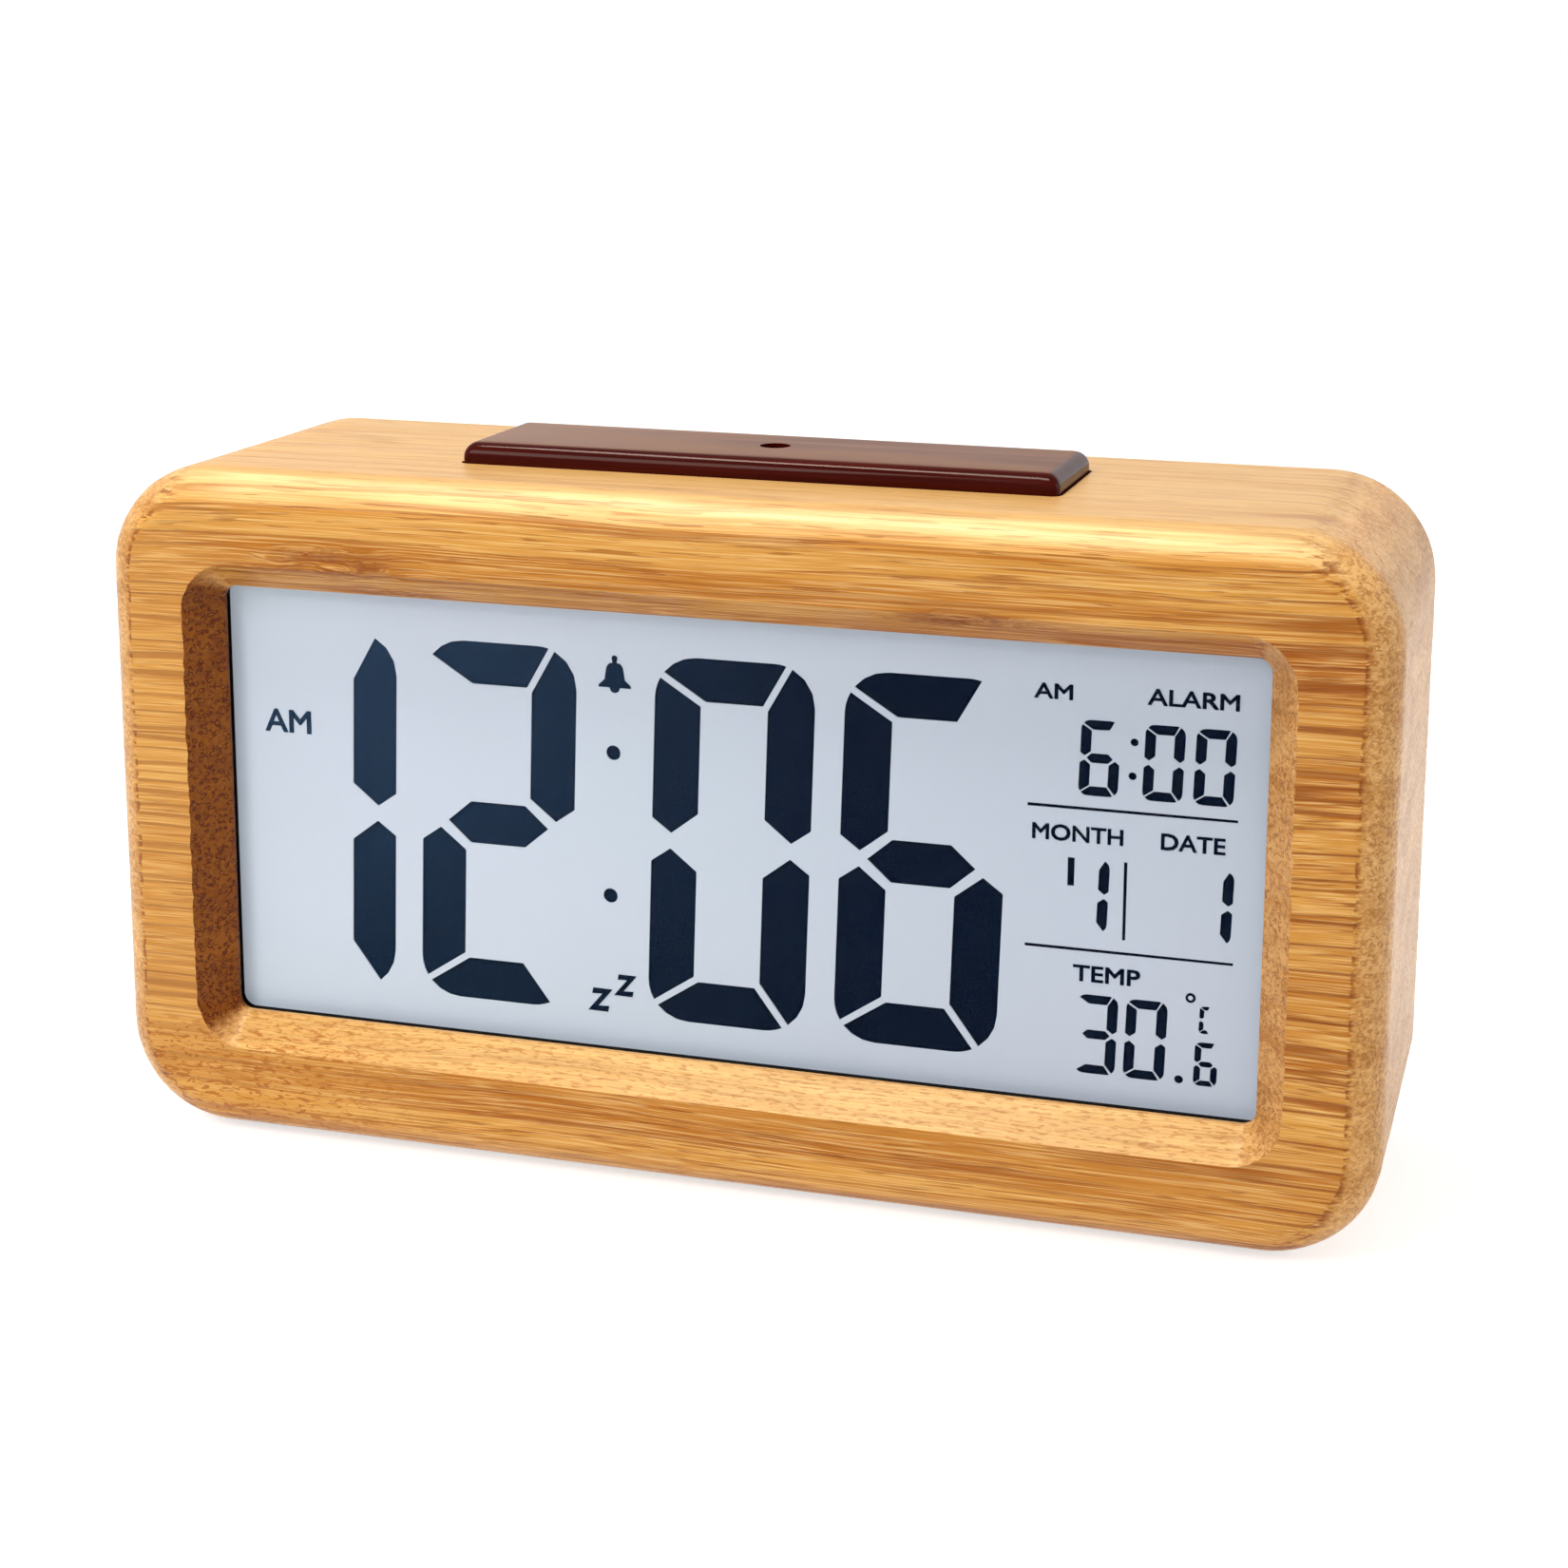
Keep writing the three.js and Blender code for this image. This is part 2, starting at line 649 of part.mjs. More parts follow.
// Display: black frame round the stack of sheet, glasses, layers and light guide
function makeDisplayFrame() {
  const rear = mainBoardY - SEAT_GAP;
  return cut(plateY(frameOuter, windowSheetY, rear),
    plateY(inset(windowSheet, -SIDE_GAP), windowSheetY - PAST, frontGlassY - SEAT_GAP / 2),
    plateY(inset(lcd, -SIDE_GAP), windowSheetY - PAST, rear + PAST));
}

function ledNotches(y0, y1) {
  const depth = LED_T + 2 * SIDE_GAP;
  const halfW = LED_W / 2 + SIDE_GAP;
  return [-1, 1].map((side) => {
    const inner = side * (lcdRear.halfX - depth);
    const outer = side * (lcdRear.halfX + PAST);
    return block(Math.min(inner, outer), Math.max(inner, outer), y0 - PAST, y1 + PAST, -halfW, halfW);
  });
}

function makeLightGuide() {
  const y1 = lightGuideY + LIGHT_GUIDE_T;
  return cut(plateY(lcdRear, lightGuideY, y1), ...ledNotches(lightGuideY, y1));
}

function makeReflector() {
  const y1 = reflectorY + REFLECTOR_T;
  return cut(plateY(lcdRear, reflectorY, y1), ...ledNotches(reflectorY, y1));
}

function makeLed(side) {
  const inner = side * (lcdRear.halfX - SIDE_GAP - LED_T);
  const outer = side * (lcdRear.halfX - SIDE_GAP);
  return block(Math.min(inner, outer), Math.max(inner, outer),
    lightGuideY + LED_SINK, mainBoardY - SEAT_GAP, -LED_W / 2, LED_W / 2);
}

function makeContactStrip(side) {
  const low = lcdRear.halfZ + SIDE_GAP;
  const high = lcd.halfZ - SIDE_GAP;
  const halfX = lcdRear.halfX - CONTACT_STRIP_END;
  return block(-halfX, halfX, frontGlassY + GLASS_T + SEAT_GAP, mainBoardY - SEAT_GAP,
    Math.min(side * low, side * high), Math.max(side * low, side * high));
}

function makeMainBoard() {
  const holes = fourCorners.map(([sideX, sideZ]) => rodY(POST_PIN_R + PIN_GAP,
    mainBoardY - PAST, mainBoardBackY + PAST, sideX * postX, sideZ * postZ, 12));
  return cut(plateY(frameOuter, mainBoardY, mainBoardBackY), ...holes);
}

// Characters: seven segments a to g as outlines, x to the right and y down
const litSegments = { 0: 'abcdef', 1: 'bc', 2: 'abged', 3: 'abgcd', 6: 'afgecd', C: 'afed' };

function segmentOutline(segment, digit) {
  const { w, h, stroke, gap, arcSteps } = digit;
  const bar = 0.91 * stroke;
  const r = 0.89 * stroke;
  const apexIn = 0.42 * stroke;
  const apexGap = 1.2 * gap;
  const innerGap = 0.75 * gap;
  const edgeDrop = 0.72 * apexIn;
  const mid = h / 2;
  const halfGapAngle = gap / 2 / r;
  const cutAngle = { topLeft: 0.58, topRight: 1.2, bottomRight: 1.01, bottomLeft: 0.63 };
  const full = Math.PI / 2;
  const arc = (left, top, from, to) => Array.from({ length: arcSteps + 1 }, (_, k) => {
    const angle = from + (to - from) * k / arcSteps;
    const x = left ? r - r * Math.cos(angle) : w - r + r * Math.cos(angle);
    const y = top ? r - r * Math.sin(angle) : h - r + r * Math.sin(angle);
    return [x, y];
  });
  const upper = (x) => [
    [x(0), mid - apexGap - edgeDrop],
    [x(apexIn), mid - apexGap],
    [x(stroke), mid - apexGap - bar / 2],
    [x(stroke), bar + innerGap],
  ];
  const lower = (x) => [
    [x(stroke), h - bar - innerGap],
    [x(stroke), mid + apexGap + bar / 2],
    [x(apexIn), mid + apexGap],
    [x(0), mid + apexGap + edgeDrop],
  ];
  const fromLeft = (x) => x;
  const fromRight = (x) => w - x;
  const outlines = {
    a: () => [
      ...arc(true, true, cutAngle.topLeft + halfGapAngle, full),
      ...arc(false, true, full, cutAngle.topRight + halfGapAngle),
      [w - stroke - innerGap, bar],
      [stroke + innerGap, bar],
    ],
    b: () => [...arc(false, true, cutAngle.topRight - halfGapAngle, 0), ...upper(fromRight)],
    c: () => [...lower(fromRight), ...arc(false, false, 0, cutAngle.bottomRight - halfGapAngle)],
    d: () => [
      [stroke + innerGap, h - bar],
      [w - stroke - innerGap, h - bar],
      ...arc(false, false, cutAngle.bottomRight + halfGapAngle, full),
      ...arc(true, false, full, cutAngle.bottomLeft + halfGapAngle),
    ],
    e: () => [...lower(fromLeft), ...arc(true, false, 0, cutAngle.bottomLeft - halfGapAngle)],
    f: () => [...arc(true, true, cutAngle.topLeft - halfGapAngle, 0), ...upper(fromLeft)],
    g: () => [
      [apexIn + apexGap, mid],
      [stroke + innerGap, mid - bar / 2],
      [w - stroke - innerGap, mid - bar / 2],
      [w - apexIn - apexGap, mid],
      [w - stroke - innerGap, mid + bar / 2],
      [stroke + innerGap, mid + bar / 2],
    ],
  };
  return outlines[segment]();
}

function character(symbol, digit, x, y) {
  return [...litSegments[symbol]].map((segment) => segmentOutline(segment, digit)
    .map(([u, v]) => [x + u - SLANT * v, y + v]));
}

function dot(x, y, r) {
  const sides = 12;
  return [Array.from({ length: sides }, (_, i) => {
    const angle = 2 * Math.PI * i / sides;
    return [x + r * Math.cos(angle), y + r * Math.sin(angle)];
  })];
}

function bar(x, y, w, h) {
  return [[[x, y], [x + w, y], [x + w, y + h], [x, y + h]]];
}

// Where each line of characters starts, x to the right and y down from the window's corner
const bigPitch = BIG_DIGIT_W + BIG_DIGIT_SPACE;
const colonX = TIME_LEFT + 2 * bigPitch + COLON_SPACE;
const minutesX = colonX + COLON_TO_MINUTES;
const panelX = minutesX + bigPitch + BIG_DIGIT_W + PANEL_SPACE;
const alarmColonX = panelX + ALARM_LEFT + ALARM_DIGIT_W + ALARM_COLON_SPACE;
const alarmMinutesX = alarmColonX + ALARM_SPACE;
const tempX = panelX + TEMP_LEFT;
const tempPitch = TEMP_DIGIT_W + TEMP_SPACE;
const pointX = tempX + 2 * tempPitch + POINT_R;
const upperRuleY = ALARM_TOP + ALARM_DIGIT_H + RULE_DROP;
const dateY = upperRuleY + DATE_DROP;
const lowerRuleY = dateY + DATE_DIGIT_H + LOWER_RULE_DROP;
const tempY = lowerRuleY + TEMP_DROP;
const tempBottomY = tempY + TEMP_DIGIT_H;
const artW = panelX + PANEL_W + PANEL_RIGHT;
const artH = TIME_ABOVE + BIG_DIGIT_H + TIME_BELOW;

const bigDigit = {
  w: BIG_DIGIT_W,
  h: BIG_DIGIT_H,
  stroke: BIG_DIGIT_STROKE,
  gap: BIG_DIGIT_GAP,
  arcSteps: 3,
};
const alarmDigit = {
  w: ALARM_DIGIT_W,
  h: ALARM_DIGIT_H,
  stroke: SMALL_STROKE,
  gap: SMALL_GAP,
  arcSteps: 2,
};
const dateDigit = { ...alarmDigit, h: DATE_DIGIT_H };
const tempDigit = { ...alarmDigit, w: TEMP_DIGIT_W, h: TEMP_DIGIT_H };
const tenthDigit = { w: TENTH_W, h: TENTH_H, stroke: TENTH_STROKE, gap: TENTH_GAP, arcSteps: 1 };
const unitLetter = { w: UNIT_W, h: UNIT_H, stroke: UNIT_STROKE, gap: UNIT_GAP, arcSteps: 1 };

// Everything that is dark on the display
function timeShapes() {
  const y = TIME_ABOVE;
  const upperDotY = y + COLON_DROP;
  return [
    ...character('1', bigDigit, TIME_LEFT, y),
    ...character('2', bigDigit, TIME_LEFT + bigPitch, y),
    ...dot(colonX, upperDotY, COLON_R),
    ...dot(colonX - SLANT * COLON_STEP, upperDotY + COLON_STEP, COLON_R),
    ...character('0', bigDigit, minutesX, y),
    ...character('6', bigDigit, minutesX + bigPitch, y),
  ];
}

function alarmShapes() {
  const y = ALARM_TOP;
  const upperDotY = y + ALARM_COLON_DROP;
  return [
    ...character('6', alarmDigit, panelX + ALARM_LEFT, y),
    ...dot(alarmColonX, upperDotY, SMALL_DOT_R),
    ...dot(alarmColonX - SLANT * ALARM_COLON_STEP, upperDotY + ALARM_COLON_STEP, SMALL_DOT_R),
    ...character('0', alarmDigit, alarmMinutesX, y),
    ...character('0', alarmDigit, alarmMinutesX + ALARM_DIGIT_W + ALARM_SPACE, y),
  ];
}

function dateShapes() {
  return [
    ...bar(panelX, upperRuleY, PANEL_W, RULE_T),
    ...bar(panelX + TICK_LEFT, dateY, TICK_W, TICK_H),
    ...character('1', dateDigit, panelX + MONTH_LEFT, dateY),
    ...bar(panelX + DATE_RULE_LEFT, dateY, RULE_T, DATE_RULE_H),
    ...character('1', dateDigit, panelX + DAY_LEFT, dateY),
    ...bar(panelX, lowerRuleY, PANEL_W, RULE_T),
  ];
}

function temperatureShapes() {
  return [
    ...character('3', tempDigit, tempX, tempY),
    ...character('0', tempDigit, tempX + tempPitch, tempY),
    ...dot(pointX, tempBottomY - POINT_R, POINT_R),
    ...character('6', tenthDigit, pointX + POINT_R + TENTH_SPACE, tempBottomY - TENTH_H),
    ...dot(panelX + DEGREE_LEFT, tempY - DEGREE_RISE, POINT_R),
    ...character('C', unitLetter, panelX + UNIT_LEFT, tempY),
  ];
}

// Pale layer, open where a segment is dark, its characters spread over the window
function makeMask() {
  const shape = new THREE.Shape(outline(lcdRear).map(([u, v]) => new THREE.Vector2(u, v)));
  const onGlass = ([x, y]) => new THREE.Vector2(
    (2 * x / artW - 1) * windowRect.halfX, (1 - 2 * y / artH) * windowRect.halfZ);
  const dark = [...timeShapes(), ...alarmShapes(), ...dateShapes(), ...temperatureShapes()];
  dark.forEach((points) => shape.holes.push(new THREE.Path(points.map(onGlass))));
  const geometry = new THREE.ExtrudeGeometry(shape, { depth: LAYER_T, bevelEnabled: false });
  geometry.rotateX(Math.PI / 2);
  geometry.translate(0, maskY + LAYER_T, 0);
  return solid(geometry);
}

// Snooze bar: hollow cap with a sloping edge, posts for springs and switch, end lugs
function makeSnoozeBar() {
  const steps = 6;
  const sections = [{ at: barBottomZ, rect: barRect }];
  for (let i = 0; i <= steps; i += 1) {
    const angle = Math.PI / 2 * i / steps;
    sections.push({
      at: barTopZ - BAR_EDGE * (1 - Math.sin(angle)),
      rect: inset(barRect, BAR_EDGE * (1 - Math.cos(angle))),
    });
  }
  const ceiling = barTopZ - BAR_WALL;
  const cap = cut(loft(sections, 'z'), plateZ(inset(barRect, BAR_WALL), barBottomZ - PAST, ceiling));
  const posts = [[-BAR_SPRING_X, barBottomZ], [BAR_SPRING_X, barBottomZ], [SNOOZE_SWITCH_X, switchPostZ]]
    .map(([x, z]) => rodZ(BAR_POST_R, z, ceiling + BAR_WALL / 2, x));
  const nubs = [-BAR_SPRING_X, BAR_SPRING_X].map((x) => (
    rodZ(BAR_NUB_R, barBottomZ - BAR_NUB_L, barBottomZ + BAR_NUB_L, x)));
  const lug = block(-BAR_W / 2 - BAR_LUG_L, BAR_W / 2 + BAR_LUG_L, -BAR_LUG_W / 2, BAR_LUG_W / 2,
    barBottomZ, barBottomZ + BAR_LUG_T);
  const lugs = cut(lug, block(-BAR_W / 2 + BAR_WALL / 2, BAR_W / 2 - BAR_WALL / 2,
    -BAR_LUG_W, BAR_LUG_W, barBottomZ - PAST, barBottomZ + BAR_LUG_T + PAST));
  const hole = rodZ(BAR_HOLE_R, ceiling - PAST, barTopZ + PAST, 0, 0, 24);
  return cut(joined(cap, ...posts, ...nubs, lugs), hole);
}

function makeSnoozeSpring(label) {
  return springWire(label, {
    baseR: BAR_SPRING_R,
    tipR: BAR_SPRING_R,
    wireR: BAR_SPRING_WIRE_R,
    turns: BAR_SPRING_TURNS,
    length: BAR_SPRING_L,
  });
}

function makeSnoozeBoard() {
  const rect = { halfX: SNOOZE_BOARD_W / 2, halfZ: SNOOZE_BOARD_L / 2, r: THIN_BOARD_CORNER_R, arcSteps: 2 };
  const holes = [-ARM_X, ARM_X].map((x) => rodZ(BOARD_PIN_R + PIN_GAP,
    snoozeBoardBottomZ - PAST, snoozeBoardTopZ + PAST, x, 0, 12));
  return cut(plateZ(rect, snoozeBoardBottomZ, snoozeBoardTopZ), ...holes);
}

// Switch: square body from z = 0 up, with a bore that its stem moves in
function makeSwitch() {
  const rect = { halfX: SWITCH_W / 2, halfZ: SWITCH_W / 2, r: BODY_CORNER_R, arcSteps: 1 };
  const bore = rodZ(SWITCH_BORE_R, SWITCH_T - SWITCH_BORE_DEPTH, SWITCH_T + PAST, 0, 0, 16);
  return cut(plateZ(rect, 0, SWITCH_T), bore);
}

function makeLightSensor() {
  const dome = 0.35 * LIGHT_SENSOR_T;
  const geometry = turned([[0, 0], [LIGHT_SENSOR_R, 0], [LIGHT_SENSOR_R, LIGHT_SENSOR_T - dome],
    [0.7 * LIGHT_SENSOR_R, LIGHT_SENSOR_T - 0.3 * dome], [0, LIGHT_SENSOR_T]], 16);
  geometry.rotateX(Math.PI / 2);
  return solid(geometry);
}

// Rear cover: plate with bay, posts, bosses, arms and ring, then its openings
function makeCover() {
  const plate = loft([
    { at: coverInnerY, rect: coverRect },
    { at: coverOuterY - COVER_CHAMFER, rect: coverRect },
    { at: coverOuterY, rect: inset(coverRect, COVER_CHAMFER) },
  ], 'y');
  const into = coverInnerY + COVER_T / 2;
  const tub = plateY(inset(bay, -BAY_WALL), bayFloorY - BAY_WALL, into);
  const posts = fourCorners.flatMap(([sideX, sideZ]) => [
    rodY(POST_R, mainBoardBackY + SEAT_GAP, into, sideX * postX, sideZ * postZ, 16),
    rodY(POST_PIN_R, mainBoardY + SEAT_GAP, into, sideX * postX, sideZ * postZ, 12),
  ]);
  const bosses = bossX.flatMap((x) => [
    rodY(BOSS_R, keyBoardBackY + SEAT_GAP, into, x, keyRowZ, 16),
    rodY(BOARD_PIN_R, keyBoardFrontY - BOARD_PIN_PROUD, into, x, keyRowZ, 12),
  ]);
  const armEndY = barY - SNOOZE_BOARD_L / 2;
  const arms = [-ARM_X, ARM_X].flatMap((x) => [
    block(x - ARM_W / 2, x + ARM_W / 2, armEndY, into, armBottomZ, armTopZ),
    rodZ(BOARD_PIN_R, armTopZ - ARM_T / 2, snoozeBoardTopZ + BOARD_PIN_PROUD, x, barY, 12),
  ]);
  const ringR = BUZZER_R + SIDE_GAP;
  const ring = cut(
    rodY(ringR + BUZZER_RING_WALL, coverInnerY - BUZZER_RING_H, into, buzzerX, BUZZER_Z, 24),
    rodY(ringR, coverInnerY - BUZZER_RING_H - PAST, coverInnerY, buzzerX, BUZZER_Z, 24));
  const whole = joined(plate, tub, ...posts, ...bosses, ...arms, ring);
  const hollow = cut(whole, plateY(bay, bayFloorY, rearY),
    plateY(doorSeat, doorInnerY - SEAT_GAP, rearY), ...tabSlots(), makeScoop(),
    ...screwSeats(), ...keyOpenings(), ...soundHoles(), ...vents());
  return joined(hollow, ...bayRibs());
}

function tabSlots() {
  const halfW = DOOR_TAB_W / 2 + SIDE_GAP;
  return [-DOOR_TAB_X, DOOR_TAB_X].map((x) => block(x - halfW, x + halfW,
    tabToeY - DOOR_TAB_ROOM, coverInnerY, bayBottomZ - BAY_WALL - PAST, bayBottomZ + PAST));
}

// Finger scoop over the door's upper edge
function makeScoop() {
  return block(-SCOOP_W / 2, SCOOP_W / 2, coverOuterY - SCOOP_DEPTH, rearY,
    bayTopZ, doorSeat.z + doorSeat.halfZ + SCOOP_H);
}

function screwSeats() {
  const seatY = coverOuterY - SCREW_HEAD_T - SEAT_GAP;
  return fourCorners.flatMap(([sideX, sideZ]) => [
    rodY(SCREW_HEAD_R + SIDE_GAP, seatY, rearY, sideX * screwX, sideZ * screwZ, 16),
    rodY(SCREW_R + PIN_GAP, coverInnerY - PAST, rearY, sideX * screwX, sideZ * screwZ, 12),
  ]);
}

function buttonRect() {
  return { halfX: BUTTON_W / 2, halfZ: BUTTON_H / 2, r: BUTTON_H / 2, z: keyRowZ, arcSteps: 5 };
}

function keyOpenings() {
  const opening = inset(buttonRect(), -MOVING_GAP);
  const openings = buttonX.map((x) => plateY({ ...opening, x }, coverInnerY - PAST, rearY));
  const slot = {
    halfX: (SLIDE_KNOB_W + SLIDE_TRAVEL) / 2 + MOVING_GAP,
    halfZ: SLIDE_KNOB_H / 2 + MOVING_GAP,
    r: SLIDE_CORNER_R,
    x: slideX,
    z: keyRowZ,
    arcSteps: 2,
  };
  return [...openings, plateY(slot, coverInnerY - PAST, rearY)];
}

function soundHoles() {
  const places = Array.from({ length: SOUND_HOLES }, (_, i) => {
    const angle = 2 * Math.PI * i / SOUND_HOLES;
    return [buzzerX + SOUND_CIRCLE_R * Math.cos(angle), BUZZER_Z + SOUND_CIRCLE_R * Math.sin(angle)];
  });
  return [[buzzerX, BUZZER_Z], ...places].map(([x, z]) => (
    rodY(SOUND_HOLE_R, coverInnerY - SEAT_GAP, rearY, x, z, 12)));
}

function vents() {
  return Array.from({ length: VENT_COUNT }, (_, i) => {
    const z = keyRowZ + (i - (VENT_COUNT - 1) / 2) * VENT_PITCH;
    const slot = { halfX: VENT_W / 2, halfZ: VENT_H / 2, r: VENT_H / 2, x: sensorX, z, arcSteps: 3 };
    return plateY(slot, coverInnerY - PAST, rearY);
  });
}

function bayRibs() {
  return cellZ.slice(1).map((z) => block(-bayHalfX + BAY_RIB_END, bayHalfX - BAY_RIB_END,
    bayFloorY - BAY_WALL / 2, bayFloorY + BAY_RIB_H,
    z - cellPitch / 2 - BAY_RIB_T / 2, z - cellPitch / 2 + BAY_RIB_T / 2));
}

// Screw: modelled about Y with its head's face at y = 0, pointing to -Y
function makeScrew() {
  const tipY = -SCREW_HEAD_T - SCREW_L + SCREW_TIP_CUT;
  const edge = SCREW_HEAD_T / 3;
  const geometry = turned([
    [0, tipY],
    [SCREW_R, tipY + SCREW_TIP_L],
    [SCREW_R, -SCREW_HEAD_T],
    [SCREW_HEAD_R, -SCREW_HEAD_T],
    [SCREW_HEAD_R, -edge],
    [SCREW_HEAD_R - edge, 0],
    [0, 0],
  ], 16);
  const half = SCREW_SLOT_L / 2;
  const halfSlot = SCREW_SLOT_W / 2;
  return cut(solid(geometry),
    block(-half, half, -SCREW_SLOT_DEPTH, 1, -halfSlot, halfSlot),
    block(-halfSlot, halfSlot, -SCREW_SLOT_DEPTH, 1, -half, half));
}

// Button: pill-shaped cap, a flange behind the cover and the switch's stem
function makeButton() {
  const cap = buttonRect();
  const flange = inset(cap, -BUTTON_FLANGE);
  return joined(
    loft([
      { at: buttonFlangeY, rect: cap },
      { at: buttonOuterY - BUTTON_EDGE, rect: cap },
      { at: buttonOuterY - 0.3 * BUTTON_EDGE, rect: inset(cap, 0.3 * BUTTON_EDGE) },
      { at: buttonOuterY, rect: inset(cap, BUTTON_EDGE) },
    ], 'y'),
    plateY(flange, buttonFlangeY, buttonFlangeY + BUTTON_FLANGE_T),
    rodY(STEM_R, plungerTipY, buttonFlangeY + BUTTON_FLANGE_T, 0, keyRowZ, 12));
}

function makeKeyBoard() {
  const rect = {
    halfX: keyBoardHalfW,
    halfZ: KEY_BOARD_H / 2,
    r: THIN_BOARD_CORNER_R,
    z: keyRowZ,
    arcSteps: 2,
  };
  const holes = bossX.map((x) => (
    rodY(BOARD_PIN_R + PIN_GAP, keyBoardFrontY - PAST, keyBoardBackY + PAST, x, keyRowZ, 12)));
  return cut(plateY(rect, keyBoardFrontY, keyBoardBackY), ...holes);
}

// Slide switch: grooved body on the key board, and a knob whose foot runs in the groove
function makeSlideBody() {
  const y0 = keyBoardBackY + SEAT_GAP;
  const y1 = y0 + SWITCH_T;
  const halfGroove = (SLIDE_FOOT_W + SLIDE_TRAVEL) / 2 + MOVING_GAP;
  const halfFoot = SLIDE_FOOT_T / 2 + MOVING_GAP;
  const rect = {
    halfX: SLIDE_BODY_W / 2,
    halfZ: SLIDE_BODY_H / 2,
    r: BODY_CORNER_R,
    x: slideX,
    z: keyRowZ,
    arcSteps: 1,
  };
  return cut(plateY(rect, y0, y1),
    block(slideX - halfGroove, slideX + halfGroove, y1 - SLIDE_GROOVE_DEPTH, y1 + PAST,
      keyRowZ - halfFoot, keyRowZ + halfFoot));
}

function makeSlideKnob() {
  const cap = {
    halfX: SLIDE_KNOB_W / 2,
    halfZ: SLIDE_KNOB_H / 2,
    r: SLIDE_CORNER_R,
    x: slideRestX,
    z: keyRowZ,
    arcSteps: 2,
  };
  const flange = {
    ...cap,
    halfX: cap.halfX + SLIDE_TRAVEL / 2 + SLIDE_FLANGE,
    halfZ: cap.halfZ + SLIDE_FLANGE,
  };
  const flangeBackY = slideFlangeY + SLIDE_FLANGE_T;
  const footTipY = keyBoardBackY + SEAT_GAP + SWITCH_T - SLIDE_FOOT_SINK;
  const foot = block(slideRestX - SLIDE_FOOT_W / 2, slideRestX + SLIDE_FOOT_W / 2,
    footTipY, flangeBackY - SLIDE_FLANGE_T / 2, keyRowZ - SLIDE_FOOT_T / 2, keyRowZ + SLIDE_FOOT_T / 2);
  const top = plateY(cap, slideFlangeY, buttonOuterY);
  const knob = joined(top, plateY(flange, slideFlangeY, flangeBackY), foot);
  const grips = [-1, 0, 1].map((step) => {
    const x = slideRestX + step * SLIDE_KNOB_W / 4;
    return block(x - SLIDE_GRIP_W / 2, x + SLIDE_GRIP_W / 2, buttonOuterY - SLIDE_GRIP_DEPTH, rearY,
      keyRowZ - SLIDE_KNOB_H, keyRowZ + SLIDE_KNOB_H);
  });
  return cut(knob, ...grips);
}

function makeTemperatureSensor() {
  const y0 = keyBoardBackY + SEAT_GAP;
  const geometry = turned([[0, 0], [0.5 * SENSOR_R, 0], [0.5 * SENSOR_R, SENSOR_L - 2 * SENSOR_R],
    [SENSOR_R, SENSOR_L - 1.3 * SENSOR_R], [SENSOR_R, SENSOR_L - 0.7 * SENSOR_R],
    [0.6 * SENSOR_R, SENSOR_L - 0.2 * SENSOR_R], [0, SENSOR_L]], 12);
  geometry.translate(sensorX, y0, keyRowZ);
  return solid(geometry);
}

function makeBuzzer() {
  const rear = coverInnerY - SEAT_GAP;
  return cut(rodY(BUZZER_R, rear - BUZZER_T, rear, buzzerX, BUZZER_Z, 24),
    rodY(SOUND_HOLE_R, rear - 0.5 * BUZZER_T, rear + PAST, buzzerX, BUZZER_Z, 12));
}

// Cell: along X with its nub towards +X, its flat end at x = 0
function makeCell() {
  const shoulder = CELL_L - CELL_NUB_L;
  const geometry = turned([
    [0, 0],
    [CELL_R - CELL_EDGE, 0],
    [CELL_R, CELL_EDGE],
    [CELL_R, shoulder - CELL_EDGE],
    [CELL_R - CELL_EDGE, shoulder],
    [CELL_NUB_R, shoulder],
    [CELL_NUB_R, CELL_L],
    [0, CELL_L],
  ], 20);
  geometry.rotateZ(-Math.PI / 2);
  return solid(geometry);
}

// Contacts: sheets against the bay's end walls, modelled towards +X from x = 0
function makeContactPlate() {
  const half = CONTACT_W / 2;
  const dimple = new THREE.CylinderGeometry(CONTACT_DIMPLE_R, 0.6 * CONTACT_DIMPLE_R, 0.5 * CONTACT_T, 12);
  dimple.rotateZ(Math.PI / 2);
  dimple.translate(CONTACT_T - 0.25 * CONTACT_T, 0, 0);
  return cut(block(0, CONTACT_T, -half, half, -half, half), solid(dimple));
}

function makeContactSpring(label) {
  const half = CONTACT_W / 2;
  const wire = springWire(label, {
    baseR: CONTACT_SPRING_BASE_R,
    tipR: CONTACT_SPRING_TIP_R,
    wireR: CONTACT_SPRING_WIRE_R,
    turns: CONTACT_SPRING_TURNS,
    length: CONTACT_SPRING_L + 0.5 * CONTACT_T,
  });
  const turnedWire = wire.rotate([0, 90, 0]).translate([0.5 * CONTACT_T, 0, 0]);
  return joined(block(0, CONTACT_T, -half, half, -half, half), turnedWire);
}

